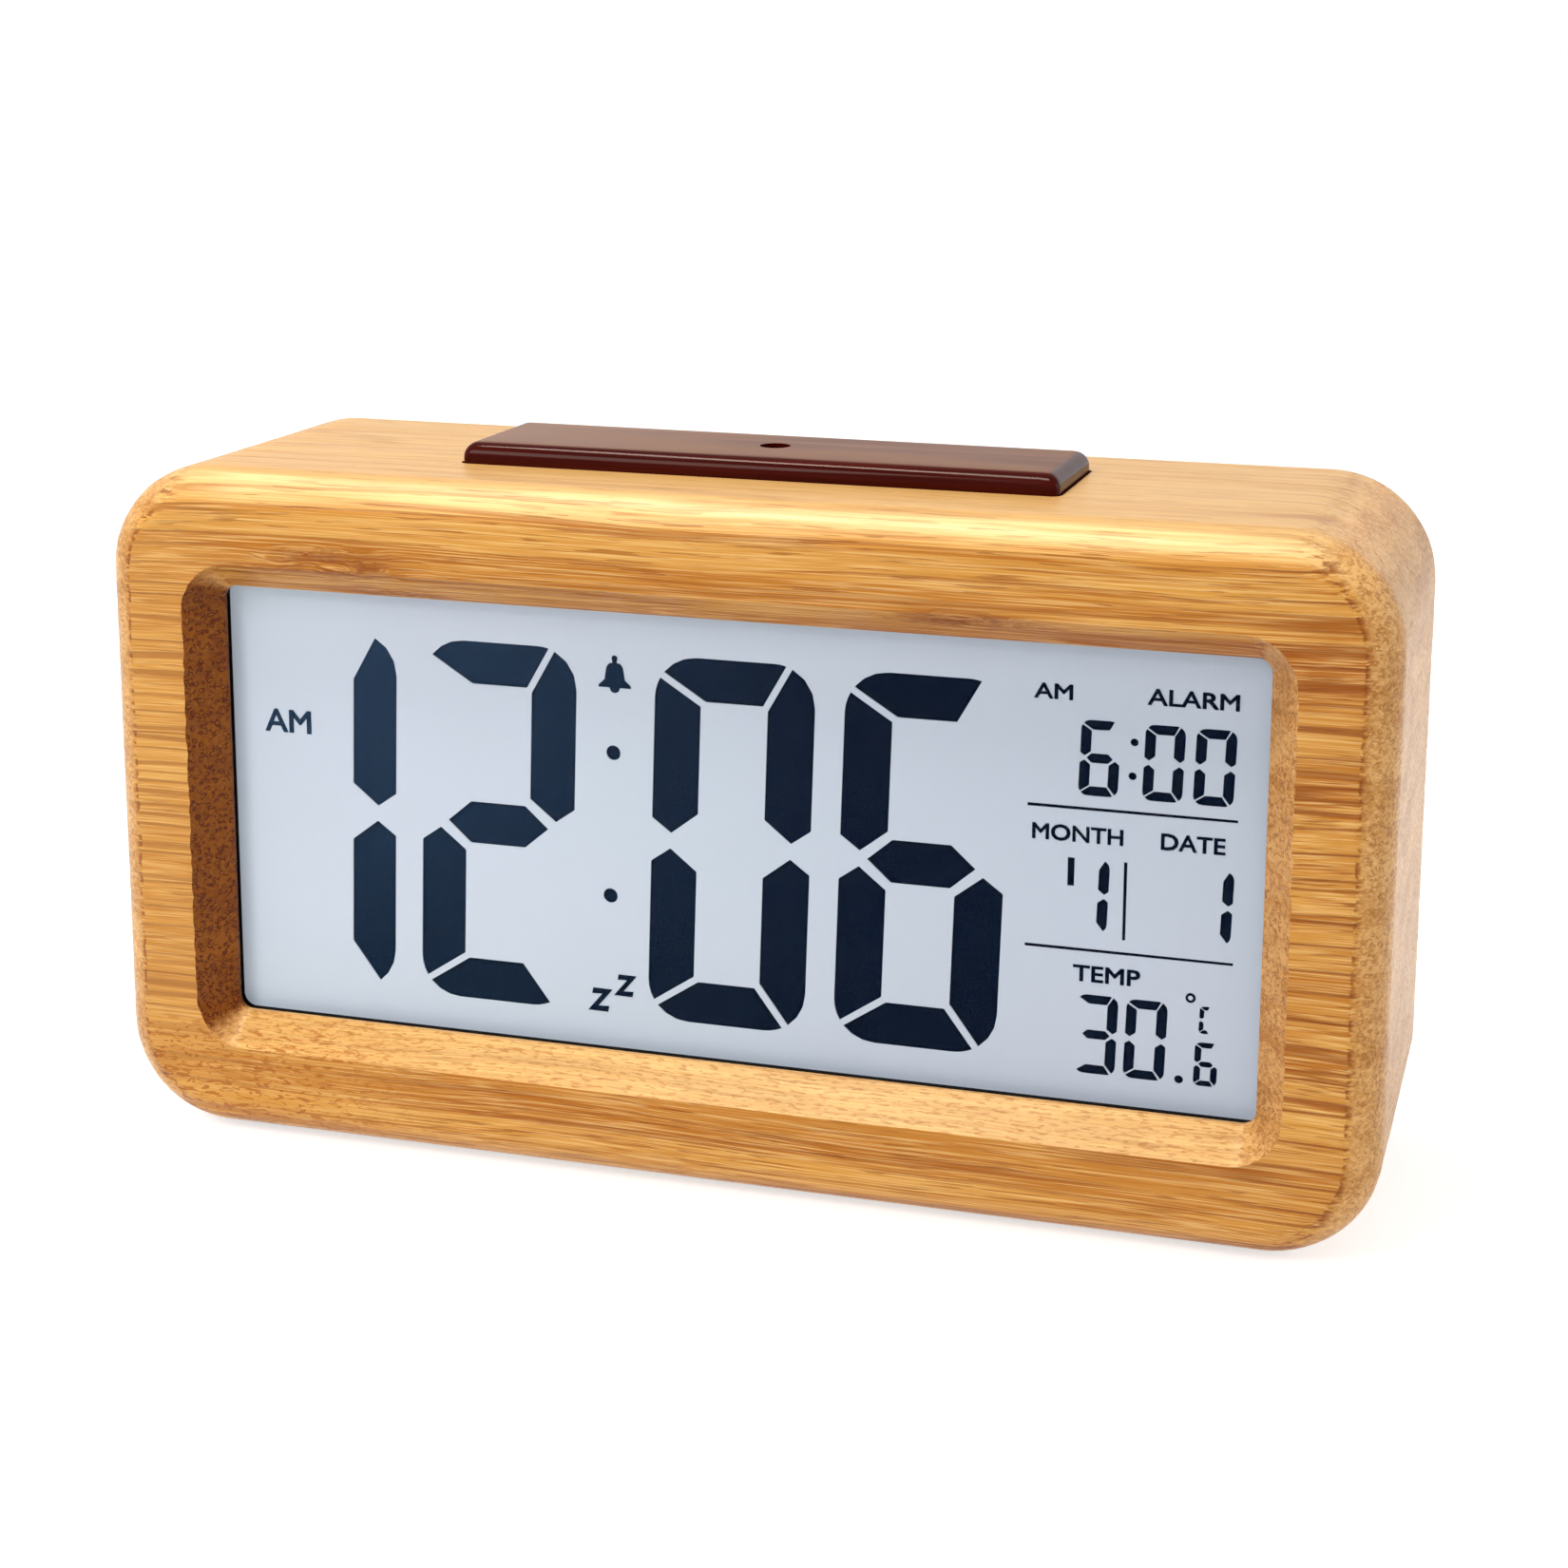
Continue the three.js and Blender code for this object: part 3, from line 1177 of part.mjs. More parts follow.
// Battery door: plate with a spring tongue, grip lines and two hook tabs below
function makeDoor() {
  const plate = plateY(doorRect, doorInnerY, coverOuterY);
  const topZ = doorRect.z + doorRect.halfZ;
  const slots = [-1, 1].map((side) => {
    const x = side * DOOR_TONGUE_W / 2;
    return block(x - DOOR_TONGUE_SLOT / 2, x + DOOR_TONGUE_SLOT / 2, doorInnerY - PAST, rearY,
      topZ - DOOR_TONGUE_L, topZ + PAST);
  });
  const grips = Array.from({ length: DOOR_GRIP_COUNT }, (_, i) => {
    const z = topZ - (i + 1) * 2 * DOOR_GRIP_H;
    const halfX = DOOR_TONGUE_W / 2 - 2 * DOOR_TONGUE_SLOT;
    return block(-halfX, halfX, coverOuterY - DOOR_GRIP_DEPTH, rearY,
      z - DOOR_GRIP_H / 2, z + DOOR_GRIP_H / 2);
  });
  const neckLow = bayBottomZ + SIDE_GAP;
  const neckHigh = neckLow + DOOR_TAB_T;
  const tabs = [-DOOR_TAB_X, DOOR_TAB_X].flatMap((x) => {
    const low = x - DOOR_TAB_W / 2;
    const high = x + DOOR_TAB_W / 2;
    return [
      block(low, high, tabToeY, doorInnerY + DOOR_T / 2, neckLow, neckHigh),
      block(low, high, tabToeY, tabToeY + DOOR_TAB_T, hingeZ - DOOR_TAB_DROP, neckHigh),
    ];
  });
  return joined(cut(plate, ...slots, ...grips), ...tabs);
}

function makeFoot() {
  const geometry = turned([
    [0, -FOOT_PROUD],
    [FOOT_R - FOOT_EDGE, -FOOT_PROUD],
    [FOOT_R, -FOOT_PROUD + FOOT_EDGE],
    [FOOT_R, FOOT_SUNK],
    [0, FOOT_SUNK],
  ], 20);
  geometry.rotateX(Math.PI / 2);
  return solid(geometry);
}

// Leads: each leaves its board squarely and meets the other one squarely
function makeBoardRibbon() {
  const from = new THREE.Vector2(mainBoardBackY + SEAT_GAP, keyRowZ - KEY_BOARD_H);
  const to = new THREE.Vector2(keyBoardFrontY - SEAT_GAP, keyRowZ);
  const pull = (to.x - from.x) / 2;
  const curve = new THREE.CubicBezierCurve(from, new THREE.Vector2(from.x + pull, from.y),
    new THREE.Vector2(to.x - pull, to.y), to);
  return flatLead(curve, boardRibbonX, BOARD_RIBBON_W);
}

function makeSnoozeRibbon() {
  const from = new THREE.Vector2(mainBoardBackY + SEAT_GAP, armBottomZ - ARM_T);
  const to = new THREE.Vector2(barY - SNOOZE_BOARD_L / 4, snoozeBoardBottomZ - SEAT_GAP);
  const curve = new THREE.CubicBezierCurve(from, new THREE.Vector2((from.x + to.x) / 2, from.y),
    new THREE.Vector2(to.x, (from.y + to.y) / 2), to);
  return flatLead(curve, SNOOZE_RIBBON_X, SNOOZE_RIBBON_W);
}

function makePowerLead() {
  const from = new THREE.Vector2(mainBoardBackY + SEAT_GAP, bayMidZ + cellPitch);
  const to = new THREE.Vector2(bayFloorY - BAY_WALL - SEAT_GAP, bayMidZ);
  const pull = (to.x - from.x) / 2;
  const curve = new THREE.CubicBezierCurve(from, new THREE.Vector2(from.x + pull, from.y),
    new THREE.Vector2(to.x - pull, to.y), to);
  return flatLead(curve, POWER_LEAD_X, POWER_LEAD_W);
}

// Materials
function finish(color, roughness, metalness = 0) {
  return new THREE.MeshStandardMaterial({ color, roughness, metalness });
}

function clear(color, opacity) {
  return new THREE.MeshStandardMaterial({ color, roughness: 0.05, metalness: 0, transparent: true, opacity });
}

const bambooFinish = finish(0xdda860, 0.5);
const lacquerFinish = finish(0x3d0f0a, 0.2);
const sheetFinish = clear(0xf4f8fb, 0.12);
const glassFinish = clear(0xe8f0f4, 0.15);
const paleLcdFinish = finish(0xc8d4e2, 0.5);
const darkLcdFinish = finish(0x0e1f33, 0.5);
const guideFinish = finish(0xf0f2f4, 0.3);
const blackFinish = finish(0x18181a, 0.6);
const boardFinish = finish(0x1f6b3a, 0.5);
const rubberFinish = finish(0x222224, 0.9);
const ledFinish = finish(0xf5f3e0, 0.4);
const coverFinish = finish(0x5a3a24, 0.55);
const keyFinish = finish(0x2e1c12, 0.5);
const steelFinish = finish(0xb8bcc0, 0.3, 1);
const cellFinish = finish(0x3c4a5a, 0.35);
const leadFinish = finish(0xd8d8d2, 0.6);

// Assembly: every piece is drawn about the middle of the case's height
const clock = new THREE.Group();
clock.name = 'alarm_clock';
const pieces = new THREE.Group();
pieces.position.z = FOOT_PROUD + CASE_H / 2;
clock.add(pieces);

function add(name, body, material, x = 0, y = 0, z = 0) {
  const mesh = new THREE.Mesh(geometryOf(body), material);
  mesh.name = name;
  mesh.position.set(x, y, z);
  pieces.add(mesh);
  return mesh;
}

add('bamboo_case', makeCase(), bambooFinish);

add('display_window', plateY(windowSheet, windowSheetY, windowSheetY + WINDOW_SHEET_T), sheetFinish);
add('lcd_front_glass', plateY(lcd, frontGlassY, frontGlassY + GLASS_T), glassFinish);
add('lcd_segment_mask', makeMask(), paleLcdFinish);
add('lcd_segment_film', plateY(lcdRear, filmY, filmY + LAYER_T), darkLcdFinish);
add('lcd_rear_glass', plateY(lcdRear, rearGlassY, rearGlassY + GLASS_T), glassFinish);
add('light_guide', makeLightGuide(), guideFinish);
add('reflector_sheet', makeReflector(), guideFinish);
add('backlight_led_left', makeLed(-1), ledFinish);
add('backlight_led_right', makeLed(1), ledFinish);
add('display_frame', makeDisplayFrame(), blackFinish);
add('zebra_strip_upper', makeContactStrip(1), rubberFinish);
add('zebra_strip_lower', makeContactStrip(-1), rubberFinish);

add('main_board', makeMainBoard(), boardFinish);
add('clock_chip', block(-CHIP_W / 2, CHIP_W / 2, 0, CHIP_T, -CHIP_W / 2, CHIP_W / 2), blackFinish,
  CHIP_X, mainBoardBackY + SEAT_GAP, CHIP_Z);
add('quartz_crystal', solid(new THREE.CylinderGeometry(CRYSTAL_R, CRYSTAL_R, CRYSTAL_L, 16)), steelFinish,
  CHIP_X + CHIP_W / 2 + CRYSTAL_SPACE, mainBoardBackY + SEAT_GAP + CRYSTAL_R, CHIP_Z)
  .rotation.x = Math.PI / 2;

add('snooze_bar', makeSnoozeBar(), lacquerFinish, 0, barY);
add('snooze_board', makeSnoozeBoard(), boardFinish, 0, barY);
add('snooze_switch', makeSwitch(), blackFinish, SNOOZE_SWITCH_X, barY, snoozeBoardTopZ + SEAT_GAP);
add('snooze_switch_stem', rodZ(STEM_R, snoozeStemZ, snoozeStemZ + SNOOZE_STEM_L, 0, 0, 12),
  leadFinish, SNOOZE_SWITCH_X, barY);
add('light_sensor', makeLightSensor(), leadFinish, 0, barY, snoozeBoardTopZ + SEAT_GAP);
add('snooze_spring_left', makeSnoozeSpring('snooze_spring_left'), steelFinish,
  -BAR_SPRING_X, barY, snoozeBoardTopZ + SEAT_GAP);
add('snooze_spring_right', makeSnoozeSpring('snooze_spring_right'), steelFinish,
  BAR_SPRING_X, barY, snoozeBoardTopZ + SEAT_GAP);

add('rear_cover', makeCover(), coverFinish);
fourCorners.forEach(([sideX, sideZ], i) => {
  add(`cover_screw_${i + 1}`, makeScrew(), steelFinish, sideX * screwX, coverOuterY, sideZ * screwZ);
});

add('key_board', makeKeyBoard(), boardFinish);
buttonNames.forEach((name, i) => {
  add(`button_${name}`, makeButton(), keyFinish, buttonX[i]);
  add(`key_switch_${name}`, makeSwitch(), blackFinish, buttonX[i], keyBoardBackY + SEAT_GAP, keyRowZ)
    .rotation.x = -Math.PI / 2;
});
add('slide_switch_body', makeSlideBody(), blackFinish);
add('slide_switch_knob', makeSlideKnob(), keyFinish);
add('temperature_sensor', makeTemperatureSensor(), blackFinish);
add('buzzer', makeBuzzer(), blackFinish);

add('battery_door', makeDoor(), coverFinish);
cellZ.forEach((z, i) => {
  const side = i % 2 === 0 ? 1 : -1;
  const plusX = bayHalfX - 2 * SEAT_GAP - CONTACT_T;
  const wallX = bayHalfX - SEAT_GAP;
  const turn = side > 0 ? 0 : Math.PI;
  add(`battery_${i + 1}`, makeCell(), cellFinish, side * (plusX - CELL_L), cellAxisY, z).rotation.z = turn;
  const spring = makeContactSpring(`contact_spring_${i + 1}`);
  add(`contact_spring_${i + 1}`, spring, steelFinish, -side * wallX, cellAxisY, z).rotation.z = turn;
  add(`contact_plate_${i + 1}`, makeContactPlate(), steelFinish, side * wallX, cellAxisY, z)
    .rotation.z = turn + Math.PI;
});

fourCorners.forEach(([sideX, sideY], i) => {
  add(`foot_${i + 1}`, makeFoot(), rubberFinish, sideX * footX, sideY * footY, caseBottomZ);
});

add('board_ribbon', makeBoardRibbon(), leadFinish);
add('snooze_ribbon', makeSnoozeRibbon(), leadFinish);
add('power_lead', makePowerLead(), leadFinish);

export default clock;
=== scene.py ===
# Digital alarm clock in a rounded bamboo block: surfaces, legends, light and camera
import json
import math
from types import SimpleNamespace

import bmesh
import bpy
from mathutils import Matrix, Vector, noise


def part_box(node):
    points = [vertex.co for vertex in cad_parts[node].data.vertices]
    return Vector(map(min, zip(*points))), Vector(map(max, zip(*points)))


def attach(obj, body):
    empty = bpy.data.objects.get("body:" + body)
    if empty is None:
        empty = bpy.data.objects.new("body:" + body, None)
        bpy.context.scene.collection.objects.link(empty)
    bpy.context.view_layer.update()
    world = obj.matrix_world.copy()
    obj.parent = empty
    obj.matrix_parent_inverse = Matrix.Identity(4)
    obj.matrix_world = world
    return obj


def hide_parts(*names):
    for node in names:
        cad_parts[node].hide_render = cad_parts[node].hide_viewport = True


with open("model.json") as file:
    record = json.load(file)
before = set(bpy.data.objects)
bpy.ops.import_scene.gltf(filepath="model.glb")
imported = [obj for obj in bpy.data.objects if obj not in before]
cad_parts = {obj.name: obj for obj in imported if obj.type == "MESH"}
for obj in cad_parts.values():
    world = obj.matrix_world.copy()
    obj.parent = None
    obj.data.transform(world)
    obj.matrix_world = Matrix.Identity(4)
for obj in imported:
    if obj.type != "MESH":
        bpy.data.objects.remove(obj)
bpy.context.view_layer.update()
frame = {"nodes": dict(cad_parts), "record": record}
nodes = frame["nodes"]

MM = 0.001
QUARTER_TURN = math.pi / 2
WHITE = (1, 1, 1, 1)

# Camera, at the photograph's viewing angle: place and lens in millimetres, turns in degrees
CAMERA_PLACE = (96.1, -302.2, 134.7)
CAMERA_TURN = 15.71
CAMERA_DOWN = 11.22
CAMERA_ROLL = 0.48
CAMERA_LENS = 63.48
CAMERA_FILM = 36
CAMERA_SHIFT = (-0.05, -0.15)

# Lamps: place, length and width in millimetres, then power in watts and colour
LAMPS = {
    "key": ((-260, -480, 420), (240, 240), 1.85, (1, 1, 1)),
    "side": ((460, 60, 180), (240, 240), 0.48, (1, 1, 1)),
    "top": ((-110, -110, 530), (320, 60), 2.75, (1, 0.98, 0.92)),
}
LAMP_AIM = (0, 0, 40)
WORLD_LIGHT = 0.42
FLOOR_SIZE = 6000
FLOOR_GREY = (0.85, 0.85, 0.85, 1)
FLOOR_ROUGHNESS = 0.9
FLOOR_LIFT = 0.65

# Case, in millimetres and degrees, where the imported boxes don't say
CASE_CORNER_R = 12.5
LEAST_CORNER_R = 0.3
FRONT_EDGE_R = 5
FRONT_CREASE = 12
REAR_EDGE_R = 2
BEVEL_SPLAY = 3.3
BEVEL_DEPTH = 4.2
LIP_DEPTH = 0.6
MOUTH_CORNER_R = 6
WINDOW_CORNER_R = 1.6
WINDOW_LAP = 1
POCKET_WALL = (8.5, 6.5)
POCKET_CORNER_R = 12
COVER_LEDGE = 2.8
COVER_SEAT = 3.3
COVER_T = 2.2
REBATE_CORNER_R = 8
CASE_SHARP = 28

# Relief of the fibres, and how far their ends stand out of line along the front's edges
RELIEF = 0.05
RAGGED = 0.32
RAGGED_FADE = 4
MOUTH_RAGGED = 0.6
FIBRE_WAVES = (0.02, 0.6, 0.7)
RAGGED_WAVES = 1.4

# Points of a ring along each X side, each Z side and each corner, and rings along each surface of the case
CASE_RING = (110, 130, 16)
REAR_EDGE_STEPS = 5
SIDE_STEPS = 30
FRONT_EDGE_STEPS = 16
FACE_STEPS = 14
BEVEL_STEPS = 10
LIP_STEPS = 2

# Snooze bar and the slot that it moves in
BAR_HALF_X = 35.6
BAR_EDGE = 1.8
BAR_CORNER_R = 1
BAR_CORNER_LEAST = 0.4
BAR_CORNER_SHRINK = 0.5
BAR_WALL = 2.2
BAR_HOLE_R = 1.8
BAR_SKIRT_LIFT = 1
BAR_HOLLOW = (0.93, 0.76)
BAR_RING = (60, 20, 6)
BAR_EDGE_STEPS = 8
BAR_TOP_STEPS = 4
BAR_SHARP = 35
SLOT_GAP = 0.3
SLOT_DEPTH = 9
SLOT_ABOVE = 5
SLOT_RING = (1, 1, 5)

# Crowned push buttons
BUTTONS = ("mode", "set", "up", "down", "alarm")
BUTTON_W = 8
BUTTON_H = 5.4
BUTTON_EDGE = 0.7
BUTTON_CROWN = 0.16
BUTTON_FLANGE = 0.8
BUTTON_FLANGE_T = 1
BUTTON_FLANGE_EDGE = 0.1
BUTTON_STEM_R = 1
BUTTON_STEM_LAP = 0.3
BUTTON_STEM_SIDES = 20
BUTTON_GAP = 0.1
BUTTON_RING = (8, 0, 9)
BUTTON_EDGE_STEPS = 6
BUTTON_CROWN_SHARES = (0.2, 0.4, 0.6, 0.8, 0.97)
BUTTON_SHARP = 35

# Feet with a rounded lower edge
FEET = 4
FOOT_EDGE = 0.45
FOOT_EDGE_STEPS = 5
FOOT_RING_R = 2.6
FOOT_HOLLOW = (0.3, 0.12)
FOOT_SIDES = 40

# Cells: the one whose nub is on the left, a groove near the nub's end, as distances from the shoulder
# there, and the sunk collar round the nub
CELLS = 3
CELL_NUB_LEFT = 2
CELL_EDGE = 0.5
CELL_EDGE_STEPS = 4
CELL_BASE_INSET = 1.4
CELL_GROOVE = 0.25
CELL_GROOVE_AT = (1.9, 1.6, 1.2)
CELL_COLLAR = (0.9, 0.7)
CELL_NUB_R = 1.9
CELL_NUB_L = 0.8
CELL_NUB_EDGE = 0.2
CELL_SIDES = 48
TURNED_SHARP = 40

# Legends: text, left, top, width and height in millimetres from the window's upper left corner, and slant
LEGENDS = [
    ("AM", 3.45, 15.13, 6.03, 2.82, 0),
    ("z", 44.0, 45.52, 2.5, 2.81, 0.2),
    ("z", 47.22, 43.6, 2.31, 2.62, 0.2),
    ("AM", 96.32, 4.97, 4.33, 1.76, 0),
    ("ALARM", 108.8, 4.72, 9.96, 1.86, 0),
    ("MONTH", 96.42, 20.77, 10.16, 1.91, 0),
    ("DATE", 110.71, 20.77, 7.04, 1.91, 0),
    ("TEMP", 101.35, 36.66, 7.55, 1.91, 0),
]
LEGEND_BOLD = 0.03
LETTER_EDGE = 0.05
FONT_DEPTH = 0.5
FONT_CURVE_STEPS = 3
SMALL_FROM_X = 33
SMALL_BOLD = 0.06
MASK_MARGIN = 0.5
PRINT_T = 0.03
PRINT_GAP = 0.03

# Bell, degree ring, and the dark border that is painted shadow at the window's edge, measured as the legends
# are
BELL_MIDDLE_X = 47.67
BELL_TOP = 5.57
BELL_PROFILE = [(0.62, 0.92), (0.98, 1.35), (1.12, 2.1), (1.22, 2.85), (1.95, 3.5), (1.95, 3.78)]
BELL_KNOB_R = 0.36
BELL_KNOB_SIDES = 16
BELL_NECK_HALF = 0.28
BELL_NECK = (0.6, 1)
BELL_CLAPPER_R = 0.62
BELL_CLAPPER_STEPS = 12
BELL_RIM_DROP = 3.78
DEGREE_PLACE = (114.5, 39.2)
DEGREE_INNER_R = 0.27
DEGREE_OUTER_R = 0.56
BORDER_X = 0.55
BORDER_Z = 0.35
BORDER_CORNER_R = 1
BORDER_RING = (2, 2, 8)

# Points closer than this are one, in metres and in the font's units
SAME_POINT = 1e-7
SAME_FONT_POINT = 1e-5

# A face of a thin shape is a wall, and no flat side, if less of its normal than this is on the flat axis
WALL_TILT = 0.5


def corner_box(node):
    """Lowest and highest corner of a node, in millimetres."""
    low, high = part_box(node)
    return low / MM, high / MM


# Places that the frame gives
case_low, case_high = corner_box("bamboo_case")
case_middle_z = (case_low.z + case_high.z) / 2
case_half_z = (case_high.z - case_low.z) / 2
bar_low, bar_high = corner_box("snooze_bar")
bar_half_y = (bar_high.y - bar_low.y) / 2
bar_y = (bar_high.y + bar_low.y) / 2
film_low, film_high = corner_box("lcd_segment_film")
window_half_x = film_high.x - WINDOW_LAP
window_half_z = (film_high.z - film_low.z) / 2 - WINDOW_LAP
mask_low, mask_high = corner_box("lcd_segment_mask")
print_back = mask_low.y - PRINT_GAP
print_front = print_back - PRINT_T


# Shader nodes: short calls for what every material needs
class Shader:
    def __init__(self, name):
        self.material = bpy.data.materials.new(name)
        self.material.use_nodes = True
        self.tree = self.material.node_tree
        self.surface = self.tree.nodes["Principled BSDF"]

    def add(self, kind, inputs=None, **settings):
        node = self.tree.nodes.new(kind)
        for key, value in settings.items():
            setattr(node, key, value)
        for key, value in (inputs or {}).items():
            self.put(node.inputs[key], value)
        return node

    def put(self, socket, value):
        if isinstance(value, bpy.types.NodeSocket):
            self.tree.links.new(value, socket)
        else:
            socket.default_value = value

    def set(self, **values):
        for key, value in values.items():
            self.put(self.surface.inputs[key.replace("_", " ")], value)

    def place(self):
        """Position in millimetres, at rest."""
        where = self.add("ShaderNodeTexCoord").outputs["Object"]
        return self.add("ShaderNodeVectorMath", {0: where, "Scale": 1 / MM}, operation="SCALE").outputs[0]

    def normal(self):
        return self.add("ShaderNodeNewGeometry").outputs["Normal"]

    def axis(self, vector, name):
        return self.add("ShaderNodeSeparateXYZ", {0: vector}).outputs[name]

    def stretch(self, vector, scale, shift=(0, 0, 0)):
        node = self.add("ShaderNodeMapping", {"Vector": vector, "Scale": scale, "Location": shift})
        return node.outputs[0]

    def noise(self, vector, scale=1.0, detail=2.0, roughness=0.5, distortion=0.0):
        node = self.add("ShaderNodeTexNoise", {
            "Vector": vector, "Scale": scale, "Detail": detail, "Roughness": roughness,
            "Distortion": distortion})
        return node.outputs["Fac"]

    def grain(self, vector, scale, shift=(0, 0, 0), **fineness):
        """Noise with its own number of waves per millimetre along X, Y and Z."""
        return self.noise(self.stretch(vector, scale, shift), **fineness)

    def cells(self, vector, feature, output):
        node = self.add("ShaderNodeTexVoronoi", {"Vector": vector, "Scale": 1.0}, feature=feature)
        return node.outputs[output]

    def math(self, operation, a, b=0.0):
        return self.add("ShaderNodeMath", {0: a, 1: b}, operation=operation).outputs[0]

    def plus(self, a, b):
        return self.math("ADD", a, b)

    def minus(self, a, b):
        return self.math("SUBTRACT", a, b)

    def times(self, product, *others):
        for other in others:
            product = self.math("MULTIPLY", product, other)
        return product

    def between(self, value, span, to=(0, 1)):
        """A smooth step from to[0] at span[0] to to[1] at span[1]."""
        node = self.add("ShaderNodeMapRange", {
            "Value": value, "From Min": span[0], "From Max": span[1], "To Min": to[0], "To Max": to[1]},
            interpolation_type="SMOOTHSTEP")
        return node.outputs["Result"]

    def mix(self, factor, a, b, blend="MIX"):
        node = self.add("ShaderNodeMix", data_type="RGBA", blend_type=blend)
        self.put(node.inputs["Factor"], factor)
        self.put(node.inputs[6], a)
        self.put(node.inputs[7], b)
        return node.outputs[2]

    def paint(self, colour, coats):
        """Lays coats, each a strength and a colour, over a colour in their order."""
        for strength, coat in coats:
            colour = self.mix(strength, colour, coat)
        return colour

    def bump(self, height, strength, depth):
        """Relief from a height; depth is in millimetres."""
        node = self.add("ShaderNodeBump", {"Height": height, "Strength": strength, "Distance": depth * MM})
        self.put(self.surface.inputs["Normal"], node.outputs[0])


def linear(red, green, blue):
    """A colour written as it looks on a screen, 0 to 255, for a shader's socket."""
    values = [c / 255 for c in (red, green, blue)]
    return (*[c / 12.92 if c <= 0.04045 else ((c + 0.055) / 1.055) ** 2.4 for c in values], 1)


# Colours of the bamboo, along its fibres and then across them
LIGHT_WOOD = linear(197, 140, 63)
MIDDLE_WOOD = linear(167, 101, 27)
PALE_WOOD = linear(226, 184, 118)
# Painted light: the paler colour laid on the left end, where the key lamp falls
LEFT_LIT_WOOD = linear(206, 154, 82)
ORANGE_WOOD = linear(150, 78, 12)
DARK_WOOD = linear(128, 60, 2)
KNOT_WOOD = linear(124, 58, 12)
# Partly the paler cut of the top faces, partly painted sheen
UPPER_WOOD_AND_SHEEN = linear(190, 150, 92)
# Painted highlight on the rounded top front edge
EDGE_HIGHLIGHT = linear(240, 206, 148)
END_LIGHT = linear(214, 166, 106)
END_DARK = linear(174, 118, 56)
BUNDLE_WOOD = linear(146, 90, 34)
# Partly darker end grain, partly painted shade, on the window mouth's inner walls
STAIN_AND_SHADE = linear(160, 116, 40)

# Grain of the bamboo: waves per millimetre along X, Y and Z, the pattern's shift, and its fineness
GRAIN = {
    "drift": dict(scale=(0.018, 0.05, 0.05), detail=1.5),
    "swirl": dict(scale=(0.1, 0.3, 0.4), shift=(4, 4, 4)),
    "bands": dict(scale=(0.006, 0.16, 0.22), roughness=0.6),
    "streaks": dict(scale=(0.024, 1.0, 1.5), shift=(7, 3, 5), detail=4.0, roughness=0.72),
    "fibres": dict(scale=(0.06, 4.5, 6.0), shift=(2, 9, 4)),
    "dashes": dict(scale=(0.11, 2.4, 3.4), shift=(1, 4, 2)),
    "broken": dict(scale=(0.03, 0.6, 0.6), shift=(5, 1, 8), detail=1.0),
    "waves": dict(scale=(0.55, 1.6, 1.9), shift=(2, 6, 1), detail=3.0, roughness=0.6, distortion=0.9),
    "short": dict(scale=(0.75, 3.4, 3.8), shift=(4, 8, 2)),
    "ragged": dict(scale=(0.5, 1.3, 1.6), shift=(8, 8, 8)),
    "warp": dict(scale=(0.9, 0.9, 0.9)),
    "hollow": dict(scale=(1.2, 1.7, 1.7), shift=(3, 2, 6), detail=1.0),
    "mottle": dict(scale=(1.6, 2.2, 2.2), shift=(1, 7, 2), detail=3.0, roughness=0.7),
    "cloud": dict(scale=(0.05, 0.12, 0.12), shift=(6, 2, 3)),
    "tier": dict(scale=(0.004, 0.05, 0.28), shift=(6, 2, 3)),
}
LAYER_SCALE = (0.004, 0.2, 0.4)
LAYER_SHIFT = (11, 6, 1)
BUNDLE_SCALE = (1.0, 1.65, 1.65)
DRIFT_HEIGHT = 3.0
SWIRL_HEIGHT = 5.0

# Marks where a leaf grew, as x, z, half length and half height in millimetres
KNOTS = [(-45, 71.2, 14, 3.0), (-38, 67.6, 8, 1.0), (29, 69.8, 12, 1.6)]
KNOT_FADE = (0.2, 1.0)
KNOT_FRONT = 22
KNOT_SCALE_Y = 0.09

# Where the bamboo's looks change, as spans of x or z in millimetres
STILE_X = (54, 65)
LEFT_END_X = (-66, -56)
CURLED_X = (-52, -28)
CURLED_Z = (12, 17)
SILL_Z = (18, 24)
UPPER_Z = (60, 72)
SHOULDER_Z = (66, 76)
OVER_WINDOW_X = (-20, 30)
OVER_WINDOW_Z = (64, 66)
OVER_WINDOW_END_Z = (67, 72)
STAIN_AND_SHADE_X = (-20, 20)

# Where they change with the surface's slope, as spans of its normal's x or z
CUT_SLOPE = (0.22, 0.5)
RIM_SLOPE = (0.12, 0.22)
RIM_END_SLOPE = (0.24, 0.4)
INWARD_SLOPE = (-0.75, -0.3)
UPPER_SLOPE = (0.45, 1.0)
SHOULDER_SLOPE = (0.3, 0.62)
SHOULDER_END_SLOPE = (0.86, 0.985)
SILL_SLOPE = (0.45, 0.6)
LEVEL_SLOPE = (0.5, 0.9)


def near_knots(s, where):
    """1 in the middle of a knot on the case's front, 0 away from all of them."""
    total = 0.0
    for x, z, half_length, half_height in KNOTS:
        scale = (1 / half_length, KNOT_SCALE_Y, 1 / half_height)
        shift = (-x / half_length, KNOT_FRONT * KNOT_SCALE_Y, -z / half_height)
        inside = s.stretch(where, scale, shift)
        reach = s.add("ShaderNodeVectorMath", {0: inside}, operation="LENGTH").outputs["Value"]
        total = s.math("MAXIMUM", s.between(reach, KNOT_FADE, (1, 0)), total)
    return total


